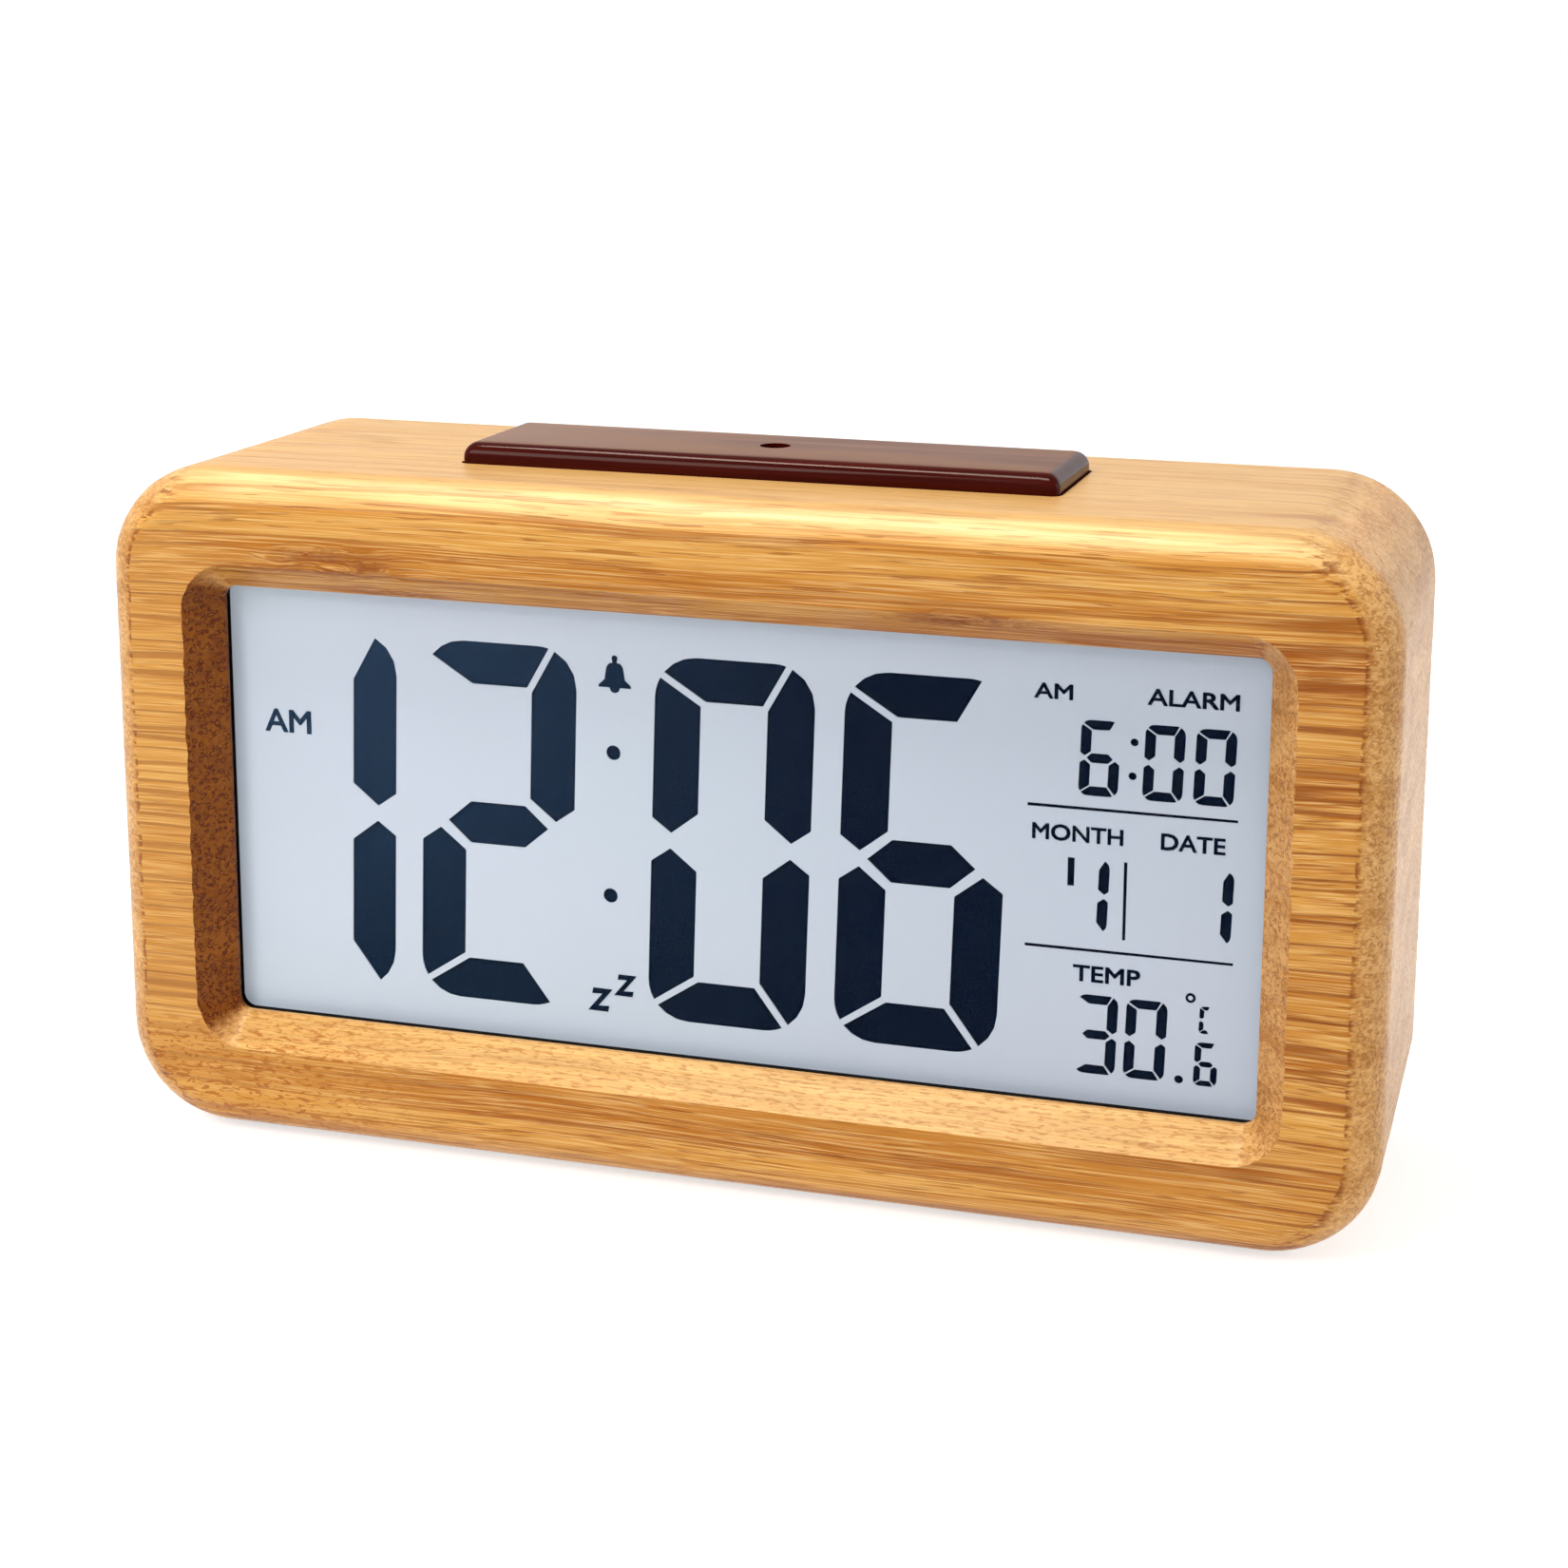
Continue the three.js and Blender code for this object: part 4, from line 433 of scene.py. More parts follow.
def bamboo_fibres(s, where):
    """Grain along the fibres and lines between their layers, which drift, and swirl round the knots."""
    knot = near_knots(s, where)
    drift = s.minus(s.grain(where, **GRAIN["drift"]), 0.5)
    swirl = s.minus(s.grain(where, **GRAIN["swirl"]), 0.5)
    lift = s.plus(s.times(drift, DRIFT_HEIGHT), s.times(swirl, s.times(knot, SWIRL_HEIGHT)))
    shift = s.add("ShaderNodeCombineXYZ", {"Y": lift, "Z": lift}).outputs[0]
    bent = s.add("ShaderNodeVectorMath", {0: where, 1: shift}, operation="ADD").outputs[0]
    layers = s.stretch(bent, LAYER_SCALE, LAYER_SHIFT)
    edge = s.cells(layers, "DISTANCE_TO_EDGE", "Distance")
    streaks = s.grain(bent, **GRAIN["streaks"])

    on_stile = s.between(s.math("ABSOLUTE", s.axis(where, "X")), STILE_X)
    weak = s.times(on_stile, 0.7)
    strong = s.between(on_stile, (0, 1), (0.5, 1))
    wanted = s.between(s.grain(bent, **GRAIN["broken"]), (0.4, 0.56), (weak, strong))
    return SimpleNamespace(
        bent=bent,
        streaks=streaks,
        tone=s.axis(s.cells(layers, "F1", "Color"), "X"),
        bands=s.grain(bent, **GRAIN["bands"]),
        fine=s.grain(bent, **GRAIN["fibres"]),
        line=s.times(s.between(edge, (0.025, 0.06), (1, 0)), wanted),
        beside=s.times(s.between(edge, (0, 0.22), (0.28, 0)), wanted),
        dash=s.between(s.grain(bent, **GRAIN["dashes"]), (0.6, 0.65)),
        scar=s.times(knot, s.between(streaks, (0.42, 0.56))),
    )


def bamboo_zones(s, where, streaks):
    """How much each look of the wood shows, by place and by slope; some of the looks are painted light and
    shade.
    """
    x = s.axis(where, "X")
    z = s.axis(where, "Z")
    normal = s.normal()
    side = s.axis(normal, "X")
    across = s.math("ABSOLUTE", side)
    up = s.axis(normal, "Z")
    inward = s.between(s.times(side, s.math("SIGN", x)), INWARD_SLOPE, (1, 0))
    notch = s.times(s.between(s.grain(where, **GRAIN["ragged"]), (0.48, 0.58), (0, 0.8)),
                    s.between(s.math("ABSOLUTE", up), LEVEL_SLOPE, (1, 0.35)))
    return SimpleNamespace(
        cut=s.between(across, CUT_SLOPE),
        # painted shade: dark notches along the creases where the front turns to the sides
        rim=s.times(s.times(s.between(across, RIM_SLOPE), s.between(across, RIM_END_SLOPE, (1, 0))), notch),
        # partly darker end grain, partly painted shade: the mouth's inner walls darker, most on the left
        stain_and_shade=s.times(inward, s.between(x, STAIN_AND_SHADE_X, (1, 0.25))),
        # partly the top faces' own paler cut, partly painted sheen where the surface looks up
        upper=s.times(s.between(up, UPPER_SLOPE, (0, 0.75)), s.between(z, UPPER_Z)),
        # painted highlight along the rounded top front edge, broken by the streaks
        shoulder_highlight=s.times(s.between(up, SHOULDER_SLOPE), s.between(up, SHOULDER_END_SLOPE, (1, 0)),
                         s.between(z, SHOULDER_Z), s.between(streaks, (0.35, 0.6), (0.75, 0.3))),
        # painted shade: darker along the window's upper edge and its upper bevel, more to the right
        shade_over_window=s.times(s.between(z, OVER_WINDOW_END_Z, (1, 0)), s.between(z, OVER_WINDOW_Z),
                            s.between(x, OVER_WINDOW_X, (0.1, 0.75))),
        # painted light: the left end made paler, as if lit more by the key lamp
        lit_left_end=s.between(x, LEFT_END_X, (0.32, 0)),
        curled=s.times(s.between(x, CURLED_X, (1, 0)), s.between(z, CURLED_Z, (1, 0))),
        # the lower bevel of the window: painted light makes it paler, and its short orange dashes are grain
        sill=s.times(s.between(up, SILL_SLOPE), s.between(z, SILL_Z, (1, 0))),
    )


def bamboo_along(s, fibre, zone):
    """The wood's colour where its fibres run along the surface, with painted light and shade laid over it in
    places.
    """
    crisp = s.minus(1.0, s.times(s.math("MAXIMUM", zone.upper, zone.shoulder_highlight), 0.7))
    tone = s.plus(s.times(fibre.tone, 0.45), s.times(fibre.bands, 0.8))
    short = s.between(s.grain(fibre.bent, **GRAIN["short"]), (0.54, 0.62), (0, 0.5))
    fleck = s.between(s.grain(fibre.bent, **GRAIN["waves"]), (0.52, 0.6))
    return s.paint(s.mix(s.between(tone, (0.35, 0.9)), LIGHT_WOOD, MIDDLE_WOOD), [
        # painted shade along the window's upper edge
        (zone.shade_over_window, ORANGE_WOOD),
        (s.between(fibre.streaks, (0.52, 0.64), (0, 0.7)), ORANGE_WOOD),
        (s.times(fibre.beside, crisp), ORANGE_WOOD),
        (s.between(fibre.fine, (0.42, 0.7), (0, 0.6)), PALE_WOOD),
        # paler top: partly its own cut, partly painted sheen
        (zone.upper, UPPER_WOOD_AND_SHEEN),
        # painted highlight on the top front edge
        (zone.shoulder_highlight, EDGE_HIGHLIGHT),
        (s.times(fibre.dash, 0.55, crisp), DARK_WOOD),
        (s.times(fibre.line, 0.8, crisp), DARK_WOOD),
        (s.times(fibre.scar, 0.8), KNOT_WOOD),
        (zone.lit_left_end, LEFT_LIT_WOOD),
        # painted light on the window's lower bevel
        (s.times(zone.sill, 0.5), PALE_WOOD),
        (s.times(zone.sill, short), ORANGE_WOOD),
        (s.times(zone.curled, 0.3), LIGHT_WOOD),
        (s.times(fleck, zone.curled, 0.75), ORANGE_WOOD),
    ])


def bamboo_across(s, where, tone, stain_and_shade):
    """The wood's colour where its fibres are cut, and the dark pits of their bundles."""
    warp = s.grain(where, **GRAIN["warp"])
    places = s.add("ShaderNodeVectorMath", {0: s.stretch(where, BUNDLE_SCALE), 1: warp}, operation="ADD")
    bundle = s.cells(places.outputs[0], "F1", "Distance")
    crescent = s.times(s.between(bundle, (0.2, 0.34)), s.between(bundle, (0.42, 0.6), (1, 0)))
    pits = s.times(crescent, s.between(s.grain(where, **GRAIN["hollow"]), (0.4, 0.54)))

    tier = s.plus(s.times(s.grain(where, **GRAIN["tier"]), 0.55), s.times(tone, 0.15))
    mottle = s.plus(s.grain(where, **GRAIN["mottle"]), tier)
    cloud = s.between(s.grain(where, **GRAIN["cloud"]), (0.3, 0.6), (0.25, 0.65))
    marked = s.math("MAXIMUM", cloud, s.times(stain_and_shade, 0.95))
    colour = s.paint(s.mix(s.between(mottle, (0.6, 1.1)), END_LIGHT, END_DARK), [
        (s.times(stain_and_shade, s.between(bundle, (0.05, 0.26), (0.8, 0))), PALE_WOOD),
        (s.times(pits, marked), s.mix(stain_and_shade, BUNDLE_WOOD, DARK_WOOD)),
    ])
    return colour, pits


def bamboo():
    """Fibres along X with thin dark lines between them, speckled where they end."""
    s = Shader("bamboo")
    where = s.place()
    fibre = bamboo_fibres(s, where)
    zone = bamboo_zones(s, where, fibre.streaks)
    across, pits = bamboo_across(s, where, fibre.tone, zone.stain_and_shade)
    # the knots' colour laid on the creases' notches is painted shade
    wood = s.paint(bamboo_along(s, fibre, zone), [(zone.cut, across), (zone.rim, KNOT_WOOD)])
    # the multiply darkens the mouth's inner walls: part darker end grain, part painted shade
    s.set(Base_Color=s.mix(zone.stain_and_shade, wood, STAIN_AND_SHADE, "MULTIPLY"),
          Roughness=s.between(fibre.streaks, (0.3, 0.8), (0.3, 0.46)),
          Coat_Weight=0.05, Coat_Roughness=0.25, Specular_IOR_Level=0.2, Specular_Tint=(1, 0.86, 0.58, 1))
    groove = s.plus(fibre.line, s.times(fibre.dash, 0.35))
    relief = s.minus(s.times(fibre.fine, 0.35), groove)
    sunk = s.times(pits, zone.cut, -0.5)
    s.bump(s.plus(s.times(relief, s.minus(1.0, zone.cut)), sunk), 0.65, 0.16)
    return s.material


def lacquer():
    """Red-brown lacquer; its top is painted paler as a sheen, in blotches, and paler still towards the left.
    """
    s = Shader("lacquer")
    where = s.place()
    shade = s.grain(where, (0.03, 1.2, 1.2), detail=3.0)
    haze_and_sheen = s.grain(where, (0.045, 0.12, 0.12), (2, 0, 0))
    streak = s.grain(where, (0.02, 0.35, 0.3), (5, 1, 2), detail=3.0)
    upper = s.between(s.axis(s.normal(), "Z"), (0.92, 1))
    deep = s.mix(s.between(shade, (0.3, 0.75)), linear(48, 2, 0), linear(64, 10, 2))
    # painted sheen: the top's colour, much paler than the sides, paler still to the left
    top_sheen = s.paint(s.mix(s.between(haze_and_sheen, (0.35, 0.65)), linear(92, 56, 40), linear(112, 80, 62)), [
        (s.between(s.axis(where, "X"), (-36, 4), (0.35, 0)), linear(140, 110, 92)),
        (s.between(streak, (0.52, 0.7), (0, 0.4)), linear(128, 94, 76)),
    ])
    smooth = s.between(haze_and_sheen, (0.42, 0.62), (0.08, 0.16))
    s.set(Base_Color=s.mix(upper, deep, top_sheen), Roughness=s.plus(smooth, s.times(upper, 0.3)),
          Specular_IOR_Level=0.08, Specular_Tint=(1, 0.8, 0.7, 1))
    s.bump(haze_and_sheen, 0.2, 0.3)
    return s.material


def clear(name, alpha, roughness):
    """A clear sheet, nearly unseen but for its gloss."""
    s = Shader(name)
    s.set(Base_Color=(0.02, 0.02, 0.02, 1), Alpha=alpha, Roughness=roughness, Specular_IOR_Level=0.5)
    return s.material


def display_pale():
    """The display's pale layer, clouded a little, with painted shade that makes it greyer to the right, and
    a painted glow as if lit a little from behind.
    """
    s = Shader("lcd_pale")
    where = s.place()
    cloud = s.grain(where, (0.02, 0.02, 0.03), detail=1.0)
    # painted shade: greyer towards the right
    right = s.between(s.axis(where, "X"), (-60, 60))
    tint = s.paint(linear(218, 230, 244), [
        (right, linear(201, 212, 227)),
        (s.between(cloud, (0.3, 0.7), (0, 0.25)), linear(214, 218, 238)),
    ])
    # painted light: the emission makes the pale layer glow
    s.set(Base_Color=s.mix(1.0, tint, (0.64, 0.64, 0.64, 1), "MULTIPLY"), Roughness=0.6,
          Specular_IOR_Level=0.1, Emission_Color=tint, Emission_Strength=0.28)
    s.bump(s.noise(where, 6.0, 1.0), 0.05, 0.02)
    return s.material


def display_dark():
    """The display's dark layer, with a painted reflection that makes it bluer at the upper left."""
    s = Shader("lcd_dark")
    where = s.place()
    # painted reflection: bluer upward and to the left, darkest to the right
    up = s.between(s.axis(where, "Z"), (15, 67))
    left = s.mix(up, linear(14, 34, 56), linear(38, 60, 86))
    across = s.between(s.axis(where, "X"), (-60, 25))
    s.set(Base_Color=s.mix(across, left, linear(0, 12, 36)), Roughness=0.6, Specular_IOR_Level=0)
    return s.material


def moulded(name, colour, roughness=0.55, fineness=8.0, depth=0.03):
    """Moulded plastic or rubber with a fine texture, faint flow marks and rubbed places."""
    s = Shader(name)
    where = s.place()
    texture = s.noise(where, fineness)
    flow = s.grain(where, (0.05, 0.05, 0.09))
    worn = s.grain(where, (0.5, 0.5, 0.5), (3, 1, 5), detail=3.0, roughness=0.7)
    pale = [min(c * 1.5 + 0.01, 1) for c in colour[:3]] + [1]
    s.set(Specular_IOR_Level=0.4,
          Roughness=s.between(texture, (0.3, 0.7), (roughness - 0.07, roughness + 0.07)),
          Base_Color=s.paint(colour, [
              (s.between(flow, (0.3, 0.7), (0, 0.2)), pale),
              (s.between(texture, (0.35, 0.7), (0, 0.15)), pale),
              (s.times(s.between(worn, (0.62, 0.78)), 0.15), pale),
          ]))
    s.bump(texture, 0.35, depth)
    return s.material


def steel():
    """Bare metal, brushed."""
    s = Shader("steel")
    brushed = s.grain(s.place(), (3, 3, 0.4), detail=3.0)
    s.set(Base_Color=linear(186, 188, 190), Metallic=1,
          Roughness=s.between(brushed, (0.3, 0.7), (0.2, 0.38)))
    s.bump(brushed, 0.2, 0.01)
    return s.material


def sleeve():
    """A printed sleeve round a cell, bare metal on its ends."""
    s = Shader("cell_sleeve")
    where = s.place()
    end = s.between(s.math("ABSOLUTE", s.axis(s.normal(), "X")), (0.5, 0.7))
    band = s.between(s.math("ABSOLUTE", s.axis(where, "X")), (15, 15.1))
    scuff = s.grain(where, (0.2, 0.6, 0.6), detail=4.0, roughness=0.7)
    colour = s.paint(linear(44, 58, 78), [
        (band, linear(150, 158, 168)),
        (s.between(scuff, (0.62, 0.75), (0, 0.3)), linear(170, 174, 180)),
        (end, linear(190, 190, 188)),
    ])
    s.set(Base_Color=colour, Metallic=s.between(end, (0, 1), (0.35, 1)),
          Roughness=s.between(scuff, (0.3, 0.7), (0.24, 0.4)))
    s.bump(scuff, 0.1, 0.02)
    return s.material


finishes = {
    "bamboo": bamboo(),
    "lacquer": lacquer(),
    "clear_sheet": clear("clear_sheet", 0.025, 0.04),
    "lcd_glass": clear("lcd_glass", 0.02, 0.2),
    "lcd_pale": display_pale(),
    "lcd_dark": display_dark(),
    "light_guide": moulded("light_guide", linear(236, 238, 240), 0.3),
    "black_plastic": moulded("black_plastic", linear(24, 24, 26), 0.5),
    "circuit_board": moulded("circuit_board", linear(28, 92, 52), 0.4, 3.0),
    "rubber": moulded("rubber", linear(30, 30, 32), 0.8, 5.0, 0.05),
    "led": moulded("led", linear(240, 236, 210), 0.3),
    "cover_plastic": moulded("cover_plastic", linear(84, 54, 36)),
    "key_plastic": moulded("key_plastic", linear(44, 28, 20), 0.45),
    "steel": steel(),
    "cell_sleeve": sleeve(),
    "lead": moulded("lead", linear(214, 214, 206), 0.5),
}


def finish(piece, slot_name):
    piece.data.materials.clear()
    piece.data.materials.append(finishes[slot_name])


def dress(piece, slot_name, body="clock_body"):
    finish(piece, slot_name)
    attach(piece, body)


def stand_for(piece, node, slot_name, body="clock_body"):
    dress(piece, slot_name, body)
    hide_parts(node)


for part in frame["record"]["subparts"]:
    finish(nodes[part["node"]], part["material_slot"])


# Meshes: rings of equal point count, joined one to the next
def on_arc(centre, radius, quarters):
    """A point of a circle, so many quarter turns on from its right."""
    angle = quarters * math.pi / 2
    return centre[0] + radius * math.cos(angle), centre[1] + radius * math.sin(angle)


def ring(half_x, half_z, radius, y, steps, middle_z=case_middle_z):
    """A rectangle with round corners in the plane of y, counter-clockwise as seen from the front."""
    steps_x, steps_z, steps_corner = steps
    x = half_x - radius
    z = half_z - radius
    centres = [(x, z), (-x, z), (-x, -z), (x, -z)]
    points = []
    for k, centre in enumerate(centres):
        points += [on_arc(centre, radius, k + i / steps_corner) for i in range(steps_corner)]
        start_x, start_z = on_arc(centre, radius, k + 1)
        end_x, end_z = on_arc(centres[(k + 1) % 4], radius, (k + 1) % 4)
        count = steps_z if k % 2 else steps_x
        for i in range(count):
            share = i / count
            points.append((start_x + (end_x - start_x) * share, start_z + (end_z - start_z) * share))
    return [Vector((x, y, middle_z + z)) for x, z in points]


def top_ring(half_x, half_y, radius, z, steps):
    """A rectangle with round corners in the plane of z, round the middle of the snooze bar."""
    return [Vector((p.x, p.z, z)) for p in ring(half_x, half_y, radius, 0, steps, bar_y)]


def between_rings(first, second, steps):
    """The rings from first to second, first left out."""
    return [[a.lerp(b, i / steps) for a, b in zip(first, second)] for i in range(1, steps + 1)]


def round_edge(radius, steps):
    """A quarter circle, as distances from the two sides that it rounds off; it starts on the second side."""
    angles = [QUARTER_TURN * i / steps for i in range(steps + 1)]
    return [(radius * (1 - math.sin(a)), radius * (1 - math.cos(a))) for a in angles]


def piece_of(name, bm, smooth=None):
    """A new object in the scene, made of a mesh in metres; without smooth its faces keep their shading."""
    mesh = bpy.data.meshes.new(name)
    bm.to_mesh(mesh)
    bm.free()
    if smooth is not None:
        for face in mesh.polygons:
            face.use_smooth = smooth
    piece = bpy.data.objects.new(name, mesh)
    bpy.context.scene.collection.objects.link(piece)
    return piece


def join_rings(bm, rings, closed=False):
    """Adds a closed shape over rings in millimetres; closed joins the last ring to the first."""
    rows = [[bm.verts.new(p * MM) for p in row] for row in rings]
    count = len(rows[0])
    for low, high in zip(rows, rows[1:] + rows[:1] if closed else rows[1:]):
        for k in range(count):
            n = (k + 1) % count
            bm.faces.new((low[k], low[n], high[n], high[k]))
    if not closed:
        bm.faces.new(list(reversed(rows[0])))
        bm.faces.new(rows[-1])
    bmesh.ops.recalc_face_normals(bm, faces=bm.faces)


def skin(name, rings, closed=False, smooth=True):
    """A piece over one set of rings."""
    bm = bmesh.new()
    join_rings(bm, rings, closed)
    return piece_of(name, bm, smooth)


def turned(name, profile, axis, base, sides):
    """A piece turned about axis ("X", "Y" or "Z") through base; profile holds (radius, along)."""
    rings = []
    for radius, along in profile:
        row = []
        for i in range(sides):
            angle = 2 * math.pi * i / sides
            a = radius * math.cos(angle)
            b = radius * math.sin(angle)
            shift = {"X": (along, a, b), "Y": (b, along, a), "Z": (a, b, along)}[axis]
            row.append(Vector(base) + Vector(shift))
        rings.append(row)
    return skin(name, rings)


def together(name, pieces):
    """One piece of several closed ones."""
    bm = bmesh.new()
    for piece in pieces:
        bm.from_mesh(piece.data)
        bpy.data.objects.remove(piece)
    return piece_of(name, bm)


def carve(piece, cutter):
    """Cuts a closed mesh out of piece and removes it."""
    change = piece.modifiers.new("cut", "BOOLEAN")
    change.operation = "DIFFERENCE"
    change.solver = "EXACT"
    change.object = cutter
    with bpy.context.temp_override(object=piece, active_object=piece):
        bpy.ops.object.modifier_apply(modifier=change.name)
    bpy.data.objects.remove(cutter)


def sharpen(piece, degrees):
    piece.data.set_sharp_from_angle(angle=math.radians(degrees))


# Case: one closed skin, from the rear edge over the front into the window and the pocket
def fibre_height(p, waves=1.0):
    """From -1 to 1, nearly even along X, as the fibres are."""
    across_y = p.y * FIBRE_WAVES[1] * waves
    across_z = p.z * FIBRE_WAVES[2] * waves
    return noise.noise(Vector((p.x * FIBRE_WAVES[0], across_y, across_z)))


def rough_ring(row, ragged=0.0):
    """Adds the fibres' relief to a ring; ragged is how far the ends of the fibres stand out of line."""
    count = len(row)
    changed = []
    for k, p in enumerate(row):
        along = row[(k + 1) % count] - row[k - 1]
        out = Vector((along.z, 0, -along.x)).normalized()
        by = RELIEF * fibre_height(p) + ragged * abs(out.x) * fibre_height(p, RAGGED_WAVES)
        changed.append(p + out * by)
    return changed


def case_ring(inside, y):
    """The case's outline, drawn in by inside."""
    drawn_in = inside + RELIEF
    radius = max(CASE_CORNER_R - inside, LEAST_CORNER_R)
    return ring(case_high.x - drawn_in, case_half_z - drawn_in, radius, y, CASE_RING)


def case_outside():
    """Rings from the rear edge over the sides and the front's rounded edge."""
    front = case_low.y
    rear = case_high.y
    rows = [case_ring(inside, rear - along) for inside, along in round_edge(REAR_EDGE_R, REAR_EDGE_STEPS)]
    rows += between_rings(rows[-1], case_ring(0, front + FRONT_EDGE_R), SIDE_STEPS)
    rows = [rough_ring(row) for row in rows]
    crease = math.radians(FRONT_CREASE)
    shallow = FRONT_EDGE_R * (1 - math.cos(crease))
    for i in range(1, FRONT_EDGE_STEPS + 1):
        share = i / FRONT_EDGE_STEPS
        angle = QUARTER_TURN + (crease - QUARTER_TURN) * i / FRONT_EDGE_STEPS
        depth = FRONT_EDGE_R * (1 - math.cos(angle))
        y = front + FRONT_EDGE_R * (depth - shallow) / (FRONT_EDGE_R - shallow)
        row = case_ring(FRONT_EDGE_R * (1 - math.sin(angle)), y)
        rows.append(rough_ring(row, RAGGED * share ** RAGGED_FADE))
    return rows


def make_case():
    front = case_low.y
    rear = case_high.y
    rows = case_outside()

    def window(splay, radius, y):
        return ring(window_half_x + splay, window_half_z + splay, radius, y, CASE_RING)

    mouth = rough_ring(window(BEVEL_SPLAY, MOUTH_CORNER_R, front), -RAGGED * MOUTH_RAGGED)
    window_front = window(0, WINDOW_CORNER_R, front + BEVEL_DEPTH)
    window_back = window(0, WINDOW_CORNER_R, front + BEVEL_DEPTH + LIP_DEPTH)
    rows += between_rings(rows[-1], mouth, FACE_STEPS)
    rows += between_rings(mouth, window_front, BEVEL_STEPS)
    rows += between_rings(window_front, window_back, LIP_STEPS)

    pocket_x = case_high.x - POCKET_WALL[0]
    pocket_z = case_half_z - POCKET_WALL[1]
    for y in (front + BEVEL_DEPTH + LIP_DEPTH, rear - COVER_SEAT):
        rows.append(ring(pocket_x, pocket_z, POCKET_CORNER_R, y, CASE_RING))
    for y in (rear - COVER_SEAT, rear):
        rows.append(ring(pocket_x + COVER_LEDGE, pocket_z + COVER_LEDGE, REBATE_CORNER_R, y, CASE_RING))

    case = skin("case", rows, closed=True)
    slot = [top_ring(BAR_HALF_X + SLOT_GAP, bar_half_y + SLOT_GAP, BAR_CORNER_R + SLOT_GAP, z, SLOT_RING)
            for z in (case_high.z - SLOT_DEPTH, case_high.z + SLOT_ABOVE)]
    carve(case, skin("slot", slot))
    sharpen(case, CASE_SHARP)
    stand_for(case, "bamboo_case", "bamboo")


# Snooze bar: a cap with rounded edges and the light sensor's hole
def make_bar():
    rows = []
    for drop, inside in round_edge(BAR_EDGE, BAR_EDGE_STEPS):
        radius = max(BAR_CORNER_R - inside * BAR_CORNER_SHRINK, BAR_CORNER_LEAST)
        rows.append(top_ring(BAR_HALF_X - inside, bar_half_y - inside, radius, bar_high.z - drop, BAR_RING))
    skirt = bar_low.z + BAR_SKIRT_LIFT
    below = bar_high.z - BAR_WALL
    first = [Vector((p.x, p.y, skirt)) for p in rows[0]]
    angles = [math.atan2(p.y - bar_y, p.x) for p in first]
    hole = [Vector((BAR_HOLE_R * math.cos(a), bar_y + BAR_HOLE_R * math.sin(a), bar_high.z)) for a in angles]
    share_x, share_y = BAR_HOLLOW
    hollow = [Vector((p.x * share_x, bar_y + (p.y - bar_y) * share_y, below)) for p in first]
    rows = [first] + rows + between_rings(rows[-1], hole, BAR_TOP_STEPS)
    rows.append([Vector((p.x, p.y, below)) for p in hole])
    rows.append(hollow)
    rows.append([Vector((p.x, p.y, skirt)) for p in hollow])
    bar = skin("snooze_cap", rows, closed=True)
    sharpen(bar, BAR_SHARP)
    stand_for(bar, "snooze_bar", "lacquer", "snooze_bar_body")


# Back and below: crowned buttons, rounded feet, cells with a sleeve
def make_button(which):
    node = "button_" + which
    low, high = corner_box(node)
    x = (low.x + high.x) / 2
    z = (low.z + high.z) / 2
    flange_y = corner_box("rear_cover")[1].y - COVER_T - BUTTON_GAP - BUTTON_FLANGE_T
    flange_end = flange_y + BUTTON_FLANGE_T
    top = high.y - BUTTON_CROWN

    def pill(inside, y):
        half_h = BUTTON_H / 2 - inside
        row = ring(BUTTON_W / 2 - inside, half_h, half_h, y, BUTTON_RING, z)
        return [p + Vector((x, 0, 0)) for p in row]

    rows = [pill(BUTTON_FLANGE_EDGE - BUTTON_FLANGE, flange_y)]
    rows.append(pill(-BUTTON_FLANGE, flange_y + BUTTON_FLANGE_EDGE))
    rows.append(pill(-BUTTON_FLANGE, flange_end))
    rows.append(pill(0, flange_end))
    for drop, inside in round_edge(BUTTON_EDGE, BUTTON_EDGE_STEPS):
        rows.append(pill(inside, top - drop))
    reach = BUTTON_H / 2 - BUTTON_EDGE
    for share in BUTTON_CROWN_SHARES:
        rows.append(pill(BUTTON_EDGE + reach * share, top + BUTTON_CROWN * (1 - (1 - share) ** 2)))
    stem = [(BUTTON_STEM_R, 0), (BUTTON_STEM_R, flange_y + BUTTON_STEM_LAP - low.y)]
    pieces = [skin("cap", rows), turned("stem", stem, "Y", (x, low.y, z), BUTTON_STEM_SIDES)]
    piece = together(node + "_cap", pieces)
    sharpen(piece, BUTTON_SHARP)
    stand_for(piece, node, "key_plastic", which + "_button_body")


def make_foot(node):
    low, high = corner_box(node)
    base = ((low.x + high.x) / 2, (low.y + high.y) / 2, low.z)
    radius = (high.x - low.x) / 2
    profile = [(FOOT_RING_R - FOOT_HOLLOW[0], FOOT_HOLLOW[1]), (FOOT_RING_R, 0)]
    profile += [(radius - inside, along) for inside, along in round_edge(FOOT_EDGE, FOOT_EDGE_STEPS)]
    profile.append((radius, high.z - low.z))
    piece = turned(node + "_pad", profile, "Z", base, FOOT_SIDES)
    sharpen(piece, TURNED_SHARP)
    stand_for(piece, node, "rubber")


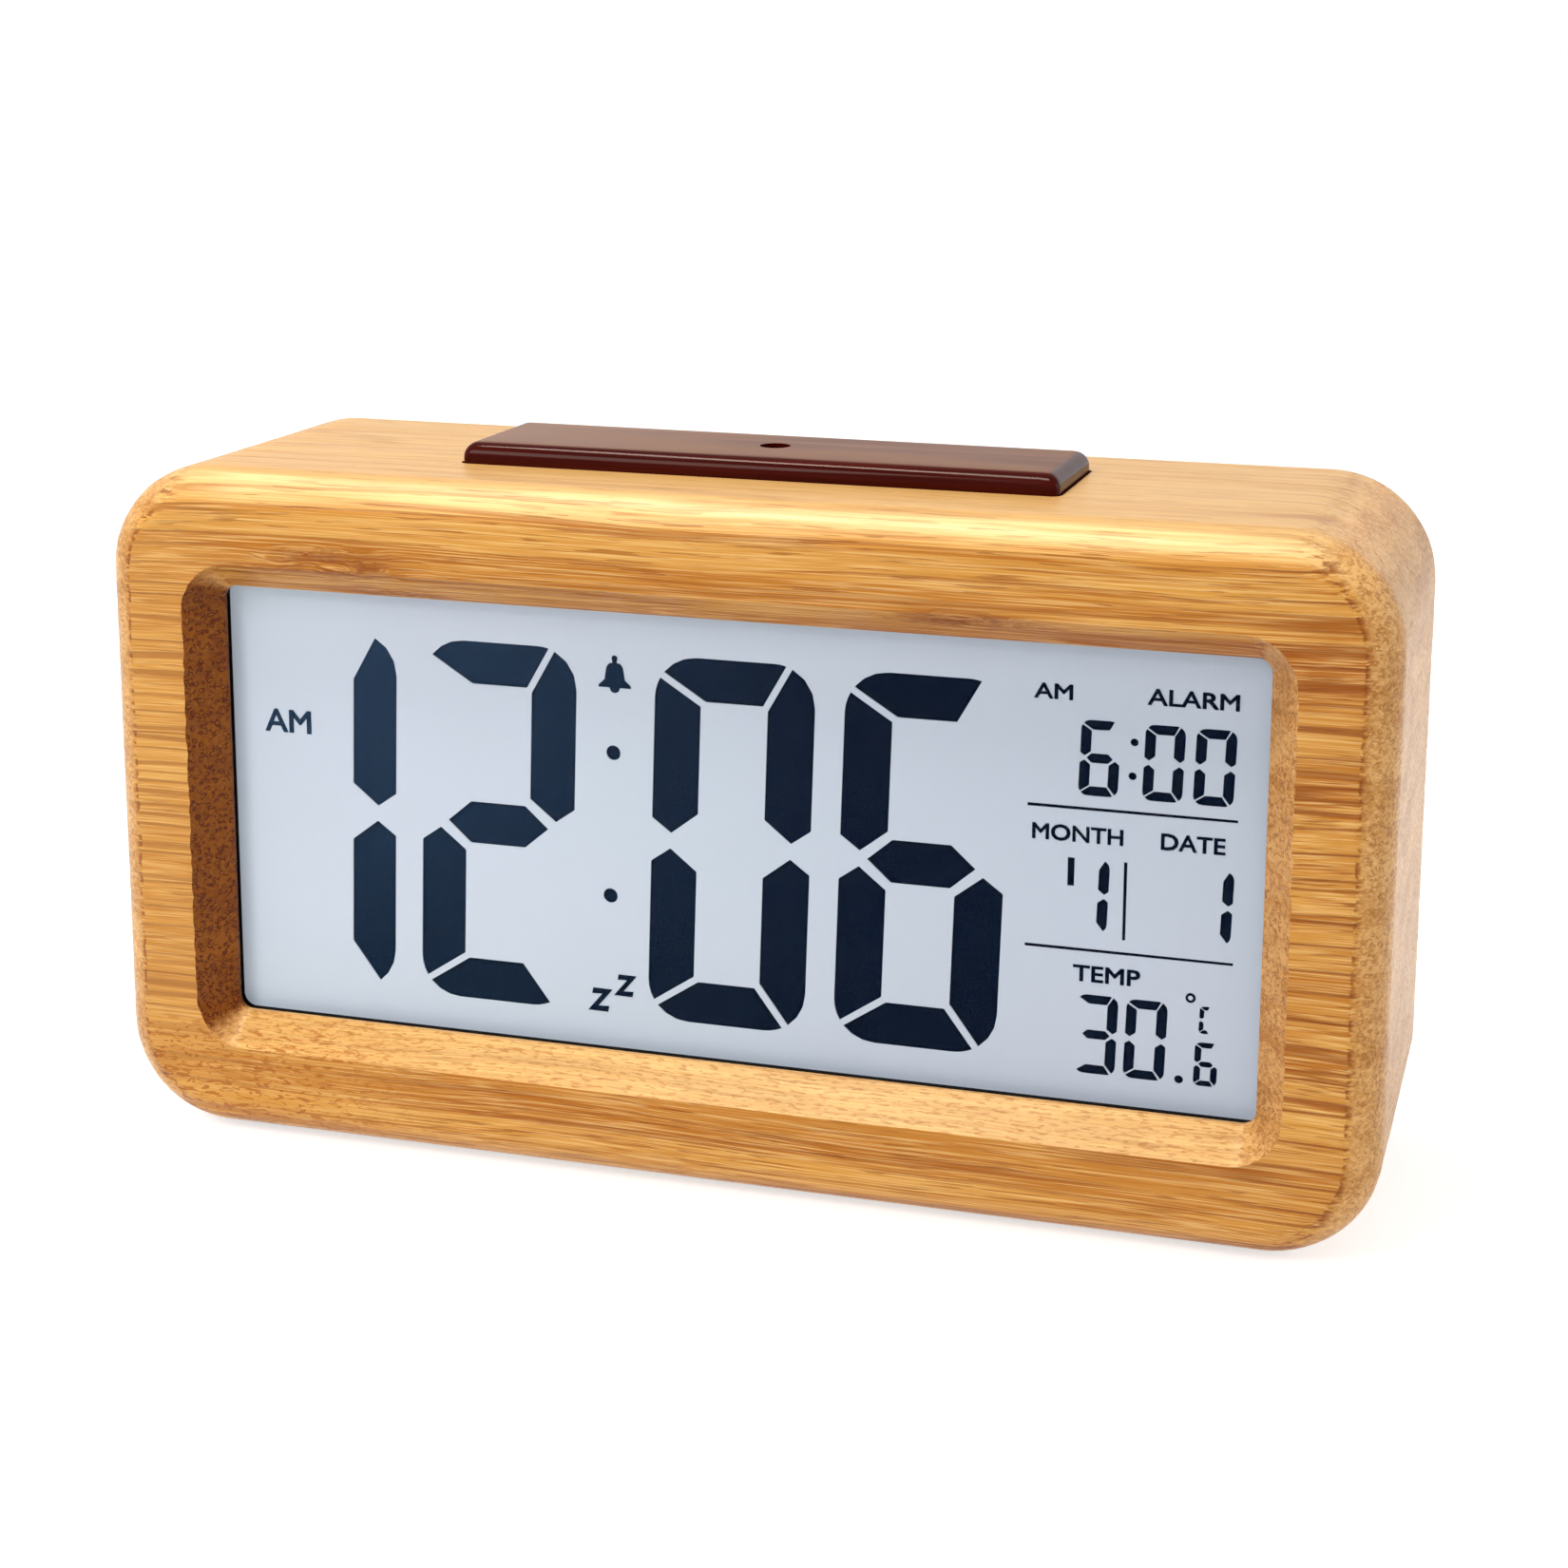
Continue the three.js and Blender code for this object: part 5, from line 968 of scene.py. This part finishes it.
def cell_profile(radius, length):
    """Radii along a cell, from its flat end to its nub."""
    shoulder_highlight = length - CELL_NUB_L
    edge = round_edge(CELL_EDGE, CELL_EDGE_STEPS)
    groove_start, groove_floor, groove_end = CELL_GROOVE_AT
    collar_outer, collar_inner = CELL_COLLAR
    profile = [(radius - CELL_BASE_INSET, 0)]
    profile += [(radius - inside, along) for inside, along in edge]
    profile.append((radius, shoulder_highlight - groove_start))
    profile.append((radius - CELL_GROOVE, shoulder_highlight - groove_floor))
    profile.append((radius - CELL_GROOVE, shoulder_highlight - groove_end))
    profile += [(radius - inside, shoulder_highlight - drop) for drop, inside in edge]
    profile.append((CELL_NUB_R + collar_outer, shoulder_highlight))
    profile.append((CELL_NUB_R + collar_inner, shoulder_highlight - CELL_NUB_EDGE))
    profile.append((CELL_NUB_R, shoulder_highlight - CELL_NUB_EDGE))
    profile.append((CELL_NUB_R, length - CELL_NUB_EDGE))
    profile.append((CELL_NUB_R - CELL_NUB_EDGE, length))
    return profile


def make_cell(node, nub_right):
    low, high = corner_box(node)
    length = high.x - low.x
    profile = cell_profile((high.z - low.z) / 2, length)
    if not nub_right:
        profile = [(radius, length - along) for radius, along in profile]
    base = (low.x, (low.y + high.y) / 2, (low.z + high.z) / 2)
    piece = turned(node + "_cell", profile, "X", base, CELL_SIDES)
    sharpen(piece, TURNED_SHARP)
    stand_for(piece, node, "cell_sleeve")


# Display: printed legends, bell, degree ring, and a dark border that is painted shadow at the window's edge
def print_ring(points, y):
    """Points measured from the window's upper left corner, on the display in the plane of y."""
    left = window_half_x
    top = case_middle_z + window_half_z
    return [Vector((along - left, y, top - down)) for along, down in points]


def flat_print(name, shapes, slot_name):
    """Closed thin shapes on the display's front, each a list of points from the window's corner."""
    bm = bmesh.new()
    for shape in shapes:
        join_rings(bm, [print_ring(shape, print_back), print_ring(shape, print_front)])
    dress(piece_of(name, bm, smooth=False), slot_name)


def grow_walls(bm, flat_axis, by, chosen):
    """Moves the chosen points where walls meet, the way that the walls face across flat_axis."""
    moves = []
    for v in filter(chosen, bm.verts):
        out = Vector()
        for face in v.link_faces:
            wall = face.normal.copy()
            if abs(wall[flat_axis]) < WALL_TILT:
                wall[flat_axis] = 0
                out += wall.normalized()
        moves.append((v, out.normalized() * by))
    for v, move in moves:
        v.co += move


def widen_openings():
    """The pale layer of the display again, its small characters and lines as bold as they print."""
    piece = nodes["lcd_segment_mask"].copy()
    piece.data = nodes["lcd_segment_mask"].data.copy()
    piece.name = "display_mask"
    bpy.context.scene.collection.objects.link(piece)

    def is_small(v):
        x = v.co.x / MM
        z = v.co.z / MM
        margin = min(mask_high.x - x, x - mask_low.x, mask_high.z - z, z - mask_low.z)
        return margin >= MASK_MARGIN and x >= SMALL_FROM_X

    bm = bmesh.new()
    bm.from_mesh(piece.data)
    bmesh.ops.remove_doubles(bm, verts=bm.verts, dist=SAME_POINT)
    bm.normal_update()
    grow_walls(bm, 1, -SMALL_BOLD * MM, is_small)
    bm.to_mesh(piece.data)
    bm.free()
    stand_for(piece, "lcd_segment_mask", "lcd_pale")


def letters_of(bm):
    """The points of each letter of a word, from left to right."""
    left = set(bm.verts)
    letters = []
    while left:
        letter = {left.pop()}
        edge = list(letter)
        while edge:
            near = {e.other_vert(v) for v in edge for e in v.link_edges} - letter
            letter |= near
            edge = list(near)
        left -= letter
        letters.append(letter)
    return sorted(letters, key=lambda letter: min(v.co.x for v in letter))


def make_upright(letter):
    """Gives an M upright legs."""
    top = max(v.co.y for v in letter)
    base = min(v.co.y for v in letter)
    edge = LETTER_EDGE * (top - base)
    foot = [v.co.x for v in letter if v.co.y < base + edge]
    head = [v.co.x for v in letter if v.co.y > top - edge]
    middle = (max(foot) + min(foot)) / 2
    foot_half = (max(foot) - min(foot)) / 2
    head_half = (max(head) - min(head)) / 2
    for v in letter:
        half = foot_half + (head_half - foot_half) * (v.co.y - base) / (top - base)
        v.co.x = middle + (v.co.x - middle) * (foot_half + head_half) / 2 / half


def bold_word(text):
    """The mesh of a word in Blender's own plain font, in the font's units."""
    curve = bpy.data.curves.new("legend", "FONT")
    curve.body = text
    curve.extrude = FONT_DEPTH
    curve.resolution_u = FONT_CURVE_STEPS
    word = bpy.data.objects.new("legend", curve)
    bpy.context.scene.collection.objects.link(word)
    bpy.context.view_layer.update()
    mesh = bpy.data.meshes.new_from_object(word.evaluated_get(bpy.context.evaluated_depsgraph_get()))
    bpy.data.objects.remove(word)

    bm = bmesh.new()
    bm.from_mesh(mesh)
    bmesh.ops.remove_doubles(bm, verts=bm.verts, dist=SAME_FONT_POINT)
    bm.normal_update()
    grow_walls(bm, 2, LEGEND_BOLD, lambda v: True)
    for character, letter in zip(text, letters_of(bm)):
        if character == "M":
            make_upright(letter)
    bm.to_mesh(mesh)
    bm.free()
    return mesh


def make_legends():
    whole = bmesh.new()
    for text, left, top, width, height, slant in LEGENDS:
        mesh = bold_word(text)
        xs = [v.co.x for v in mesh.vertices]
        ys = [v.co.y for v in mesh.vertices]
        first, last, low, high = min(xs), max(xs), min(ys), max(ys)
        for v in mesh.vertices:
            down = (high - v.co.y) / (high - low) * height
            along = (v.co.x - first) / (last - first) * width + slant * (height - down)
            y = print_back - PRINT_T * (v.co.z + FONT_DEPTH)
            v.co = print_ring([(left + along, top + down)], y)[0] * MM
        whole.from_mesh(mesh)
        bpy.data.meshes.remove(mesh)
    bmesh.ops.remove_doubles(whole, verts=whole.verts, dist=SAME_POINT)
    bmesh.ops.recalc_face_normals(whole, faces=whole.faces)
    dress(piece_of("display_legends", whole), "lcd_dark")


def circle(x, y, radius, sides=24, turn=1.0):
    """Points round a circle, or round the part of it that turn gives."""
    angles = [turn * i / sides * 2 * math.pi for i in range(sides)]
    return [(x + radius * math.cos(a), y + radius * math.sin(a)) for a in angles]


def make_bell():
    x = BELL_MIDDLE_X
    rim = BELL_TOP + BELL_RIM_DROP
    right = [(x + half, BELL_TOP + down) for half, down in BELL_PROFILE]
    left = [(x - half, BELL_TOP + down) for half, down in reversed(BELL_PROFILE)]
    clapper = circle(x, rim, BELL_CLAPPER_R, BELL_CLAPPER_STEPS, 0.5) + [(x - BELL_CLAPPER_R, rim)]
    knob = circle(x, BELL_TOP + BELL_KNOB_R, BELL_KNOB_R, BELL_KNOB_SIDES)
    neck_top, neck_end = [BELL_TOP + down for down in BELL_NECK]
    neck_left = x - BELL_NECK_HALF
    neck_right = x + BELL_NECK_HALF
    neck = [(neck_left, neck_top), (neck_right, neck_top), (neck_right, neck_end), (neck_left, neck_end)]
    flat_print("display_bell", [left + right, clapper, knob, neck], "lcd_dark")


def make_degree():
    """A small ring, with the display's pale colour inside it."""
    outer = circle(*DEGREE_PLACE, DEGREE_OUTER_R)
    inner = circle(*DEGREE_PLACE, DEGREE_INNER_R)
    rows = [print_ring(outer, print_back), print_ring(outer, print_front),
            print_ring(inner, print_front), print_ring(inner, print_back)]
    dress(skin("degree_ring", rows, closed=True), "lcd_dark")
    flat_print("degree_ring_centre", [inner], "lcd_pale")


def make_shadow_border():
    # painted shadow: a black ring just inside the window's edge, for the shade in the gap behind the lip
    outside = (mask_high.x, (mask_high.z - mask_low.z) / 2, BORDER_CORNER_R)
    inside = (window_half_x + BORDER_X, window_half_z + BORDER_Z, WINDOW_CORNER_R)
    rows = [ring(*outside, print_back, BORDER_RING), ring(*outside, print_front, BORDER_RING),
            ring(*inside, print_front, BORDER_RING), ring(*inside, print_back, BORDER_RING)]
    dress(skin("display_shadow_border", rows, closed=True, smooth=False), "black_plastic")


# Light, floor and camera
def make_lamp(name, place, size, power, colour):
    data = bpy.data.lights.new(name, "AREA")
    data.energy = power
    data.shape = "RECTANGLE"
    data.size = size[0] * MM
    data.size_y = size[1] * MM
    data.color = colour
    lamp = bpy.data.objects.new(name, data)
    lamp.location = Vector(place) * MM
    lamp.rotation_euler = (Vector(LAMP_AIM) * MM - lamp.location).to_track_quat("-Z", "Y").to_euler()
    bpy.context.scene.collection.objects.link(lamp)


def seen_directly(tree):
    """1 for rays from the camera, a mirror or glass, and 0 for the light on the object."""
    path = tree.nodes.new("ShaderNodeLightPath")
    total = path.outputs["Is Camera Ray"]
    for name in ("Is Glossy Ray", "Is Transmission Ray"):
        node = tree.nodes.new("ShaderNodeMath")
        node.operation = "ADD"
        node.use_clamp = True
        tree.links.new(total, node.inputs[0])
        tree.links.new(path.outputs[name], node.inputs[1])
        total = node.outputs[0]
    return total


def make_world():
    world = bpy.data.worlds.new("studio")
    world.use_nodes = True
    tree = world.node_tree
    background = tree.nodes["Background"]
    strength = tree.nodes.new("ShaderNodeMapRange")
    strength.inputs["To Min"].default_value = WORLD_LIGHT
    strength.inputs["To Max"].default_value = 1
    tree.links.new(seen_directly(tree), strength.inputs["Value"])
    tree.links.new(strength.outputs["Result"], background.inputs["Strength"])
    background.inputs["Color"].default_value = WHITE
    bpy.context.scene.world = world


def make_floor():
    bpy.ops.mesh.primitive_plane_add(size=FLOOR_SIZE * MM, location=(0, 0, 0))
    floor = bpy.context.active_object
    floor.name = "floor"
    s = Shader("floor")
    s.set(Base_Color=FLOOR_GREY, Roughness=FLOOR_ROUGHNESS, Specular_IOR_Level=0, Emission_Color=WHITE,
          Emission_Strength=s.times(seen_directly(s.tree), FLOOR_LIFT))
    floor.data.materials.append(s.material)


def make_camera():
    data = bpy.data.cameras.new("camera")
    data.lens = CAMERA_LENS
    data.sensor_width = CAMERA_FILM
    data.shift_x, data.shift_y = CAMERA_SHIFT
    camera = bpy.data.objects.new("camera", data)
    turn = Matrix.Rotation(math.radians(CAMERA_TURN), 4, "Z")
    down = Matrix.Rotation(math.radians(90 - CAMERA_DOWN), 4, "X")
    roll = Matrix.Rotation(math.radians(CAMERA_ROLL), 4, "Z")
    camera.matrix_world = Matrix.Translation(Vector(CAMERA_PLACE) * MM) @ turn @ down @ roll
    bpy.context.scene.collection.objects.link(camera)
    bpy.context.scene.camera = camera


make_case()
make_bar()
for which in BUTTONS:
    make_button(which)
for number in range(1, FEET + 1):
    make_foot("foot_%d" % number)
for number in range(1, CELLS + 1):
    make_cell("battery_%d" % number, nub_right=number != CELL_NUB_LEFT)
widen_openings()
make_legends()
make_bell()
make_shadow_border()
make_degree()

make_world()
make_floor()
for name, lamp in LAMPS.items():
    make_lamp(name, *lamp)
make_camera()
bpy.context.scene.view_settings.view_transform = "Standard"
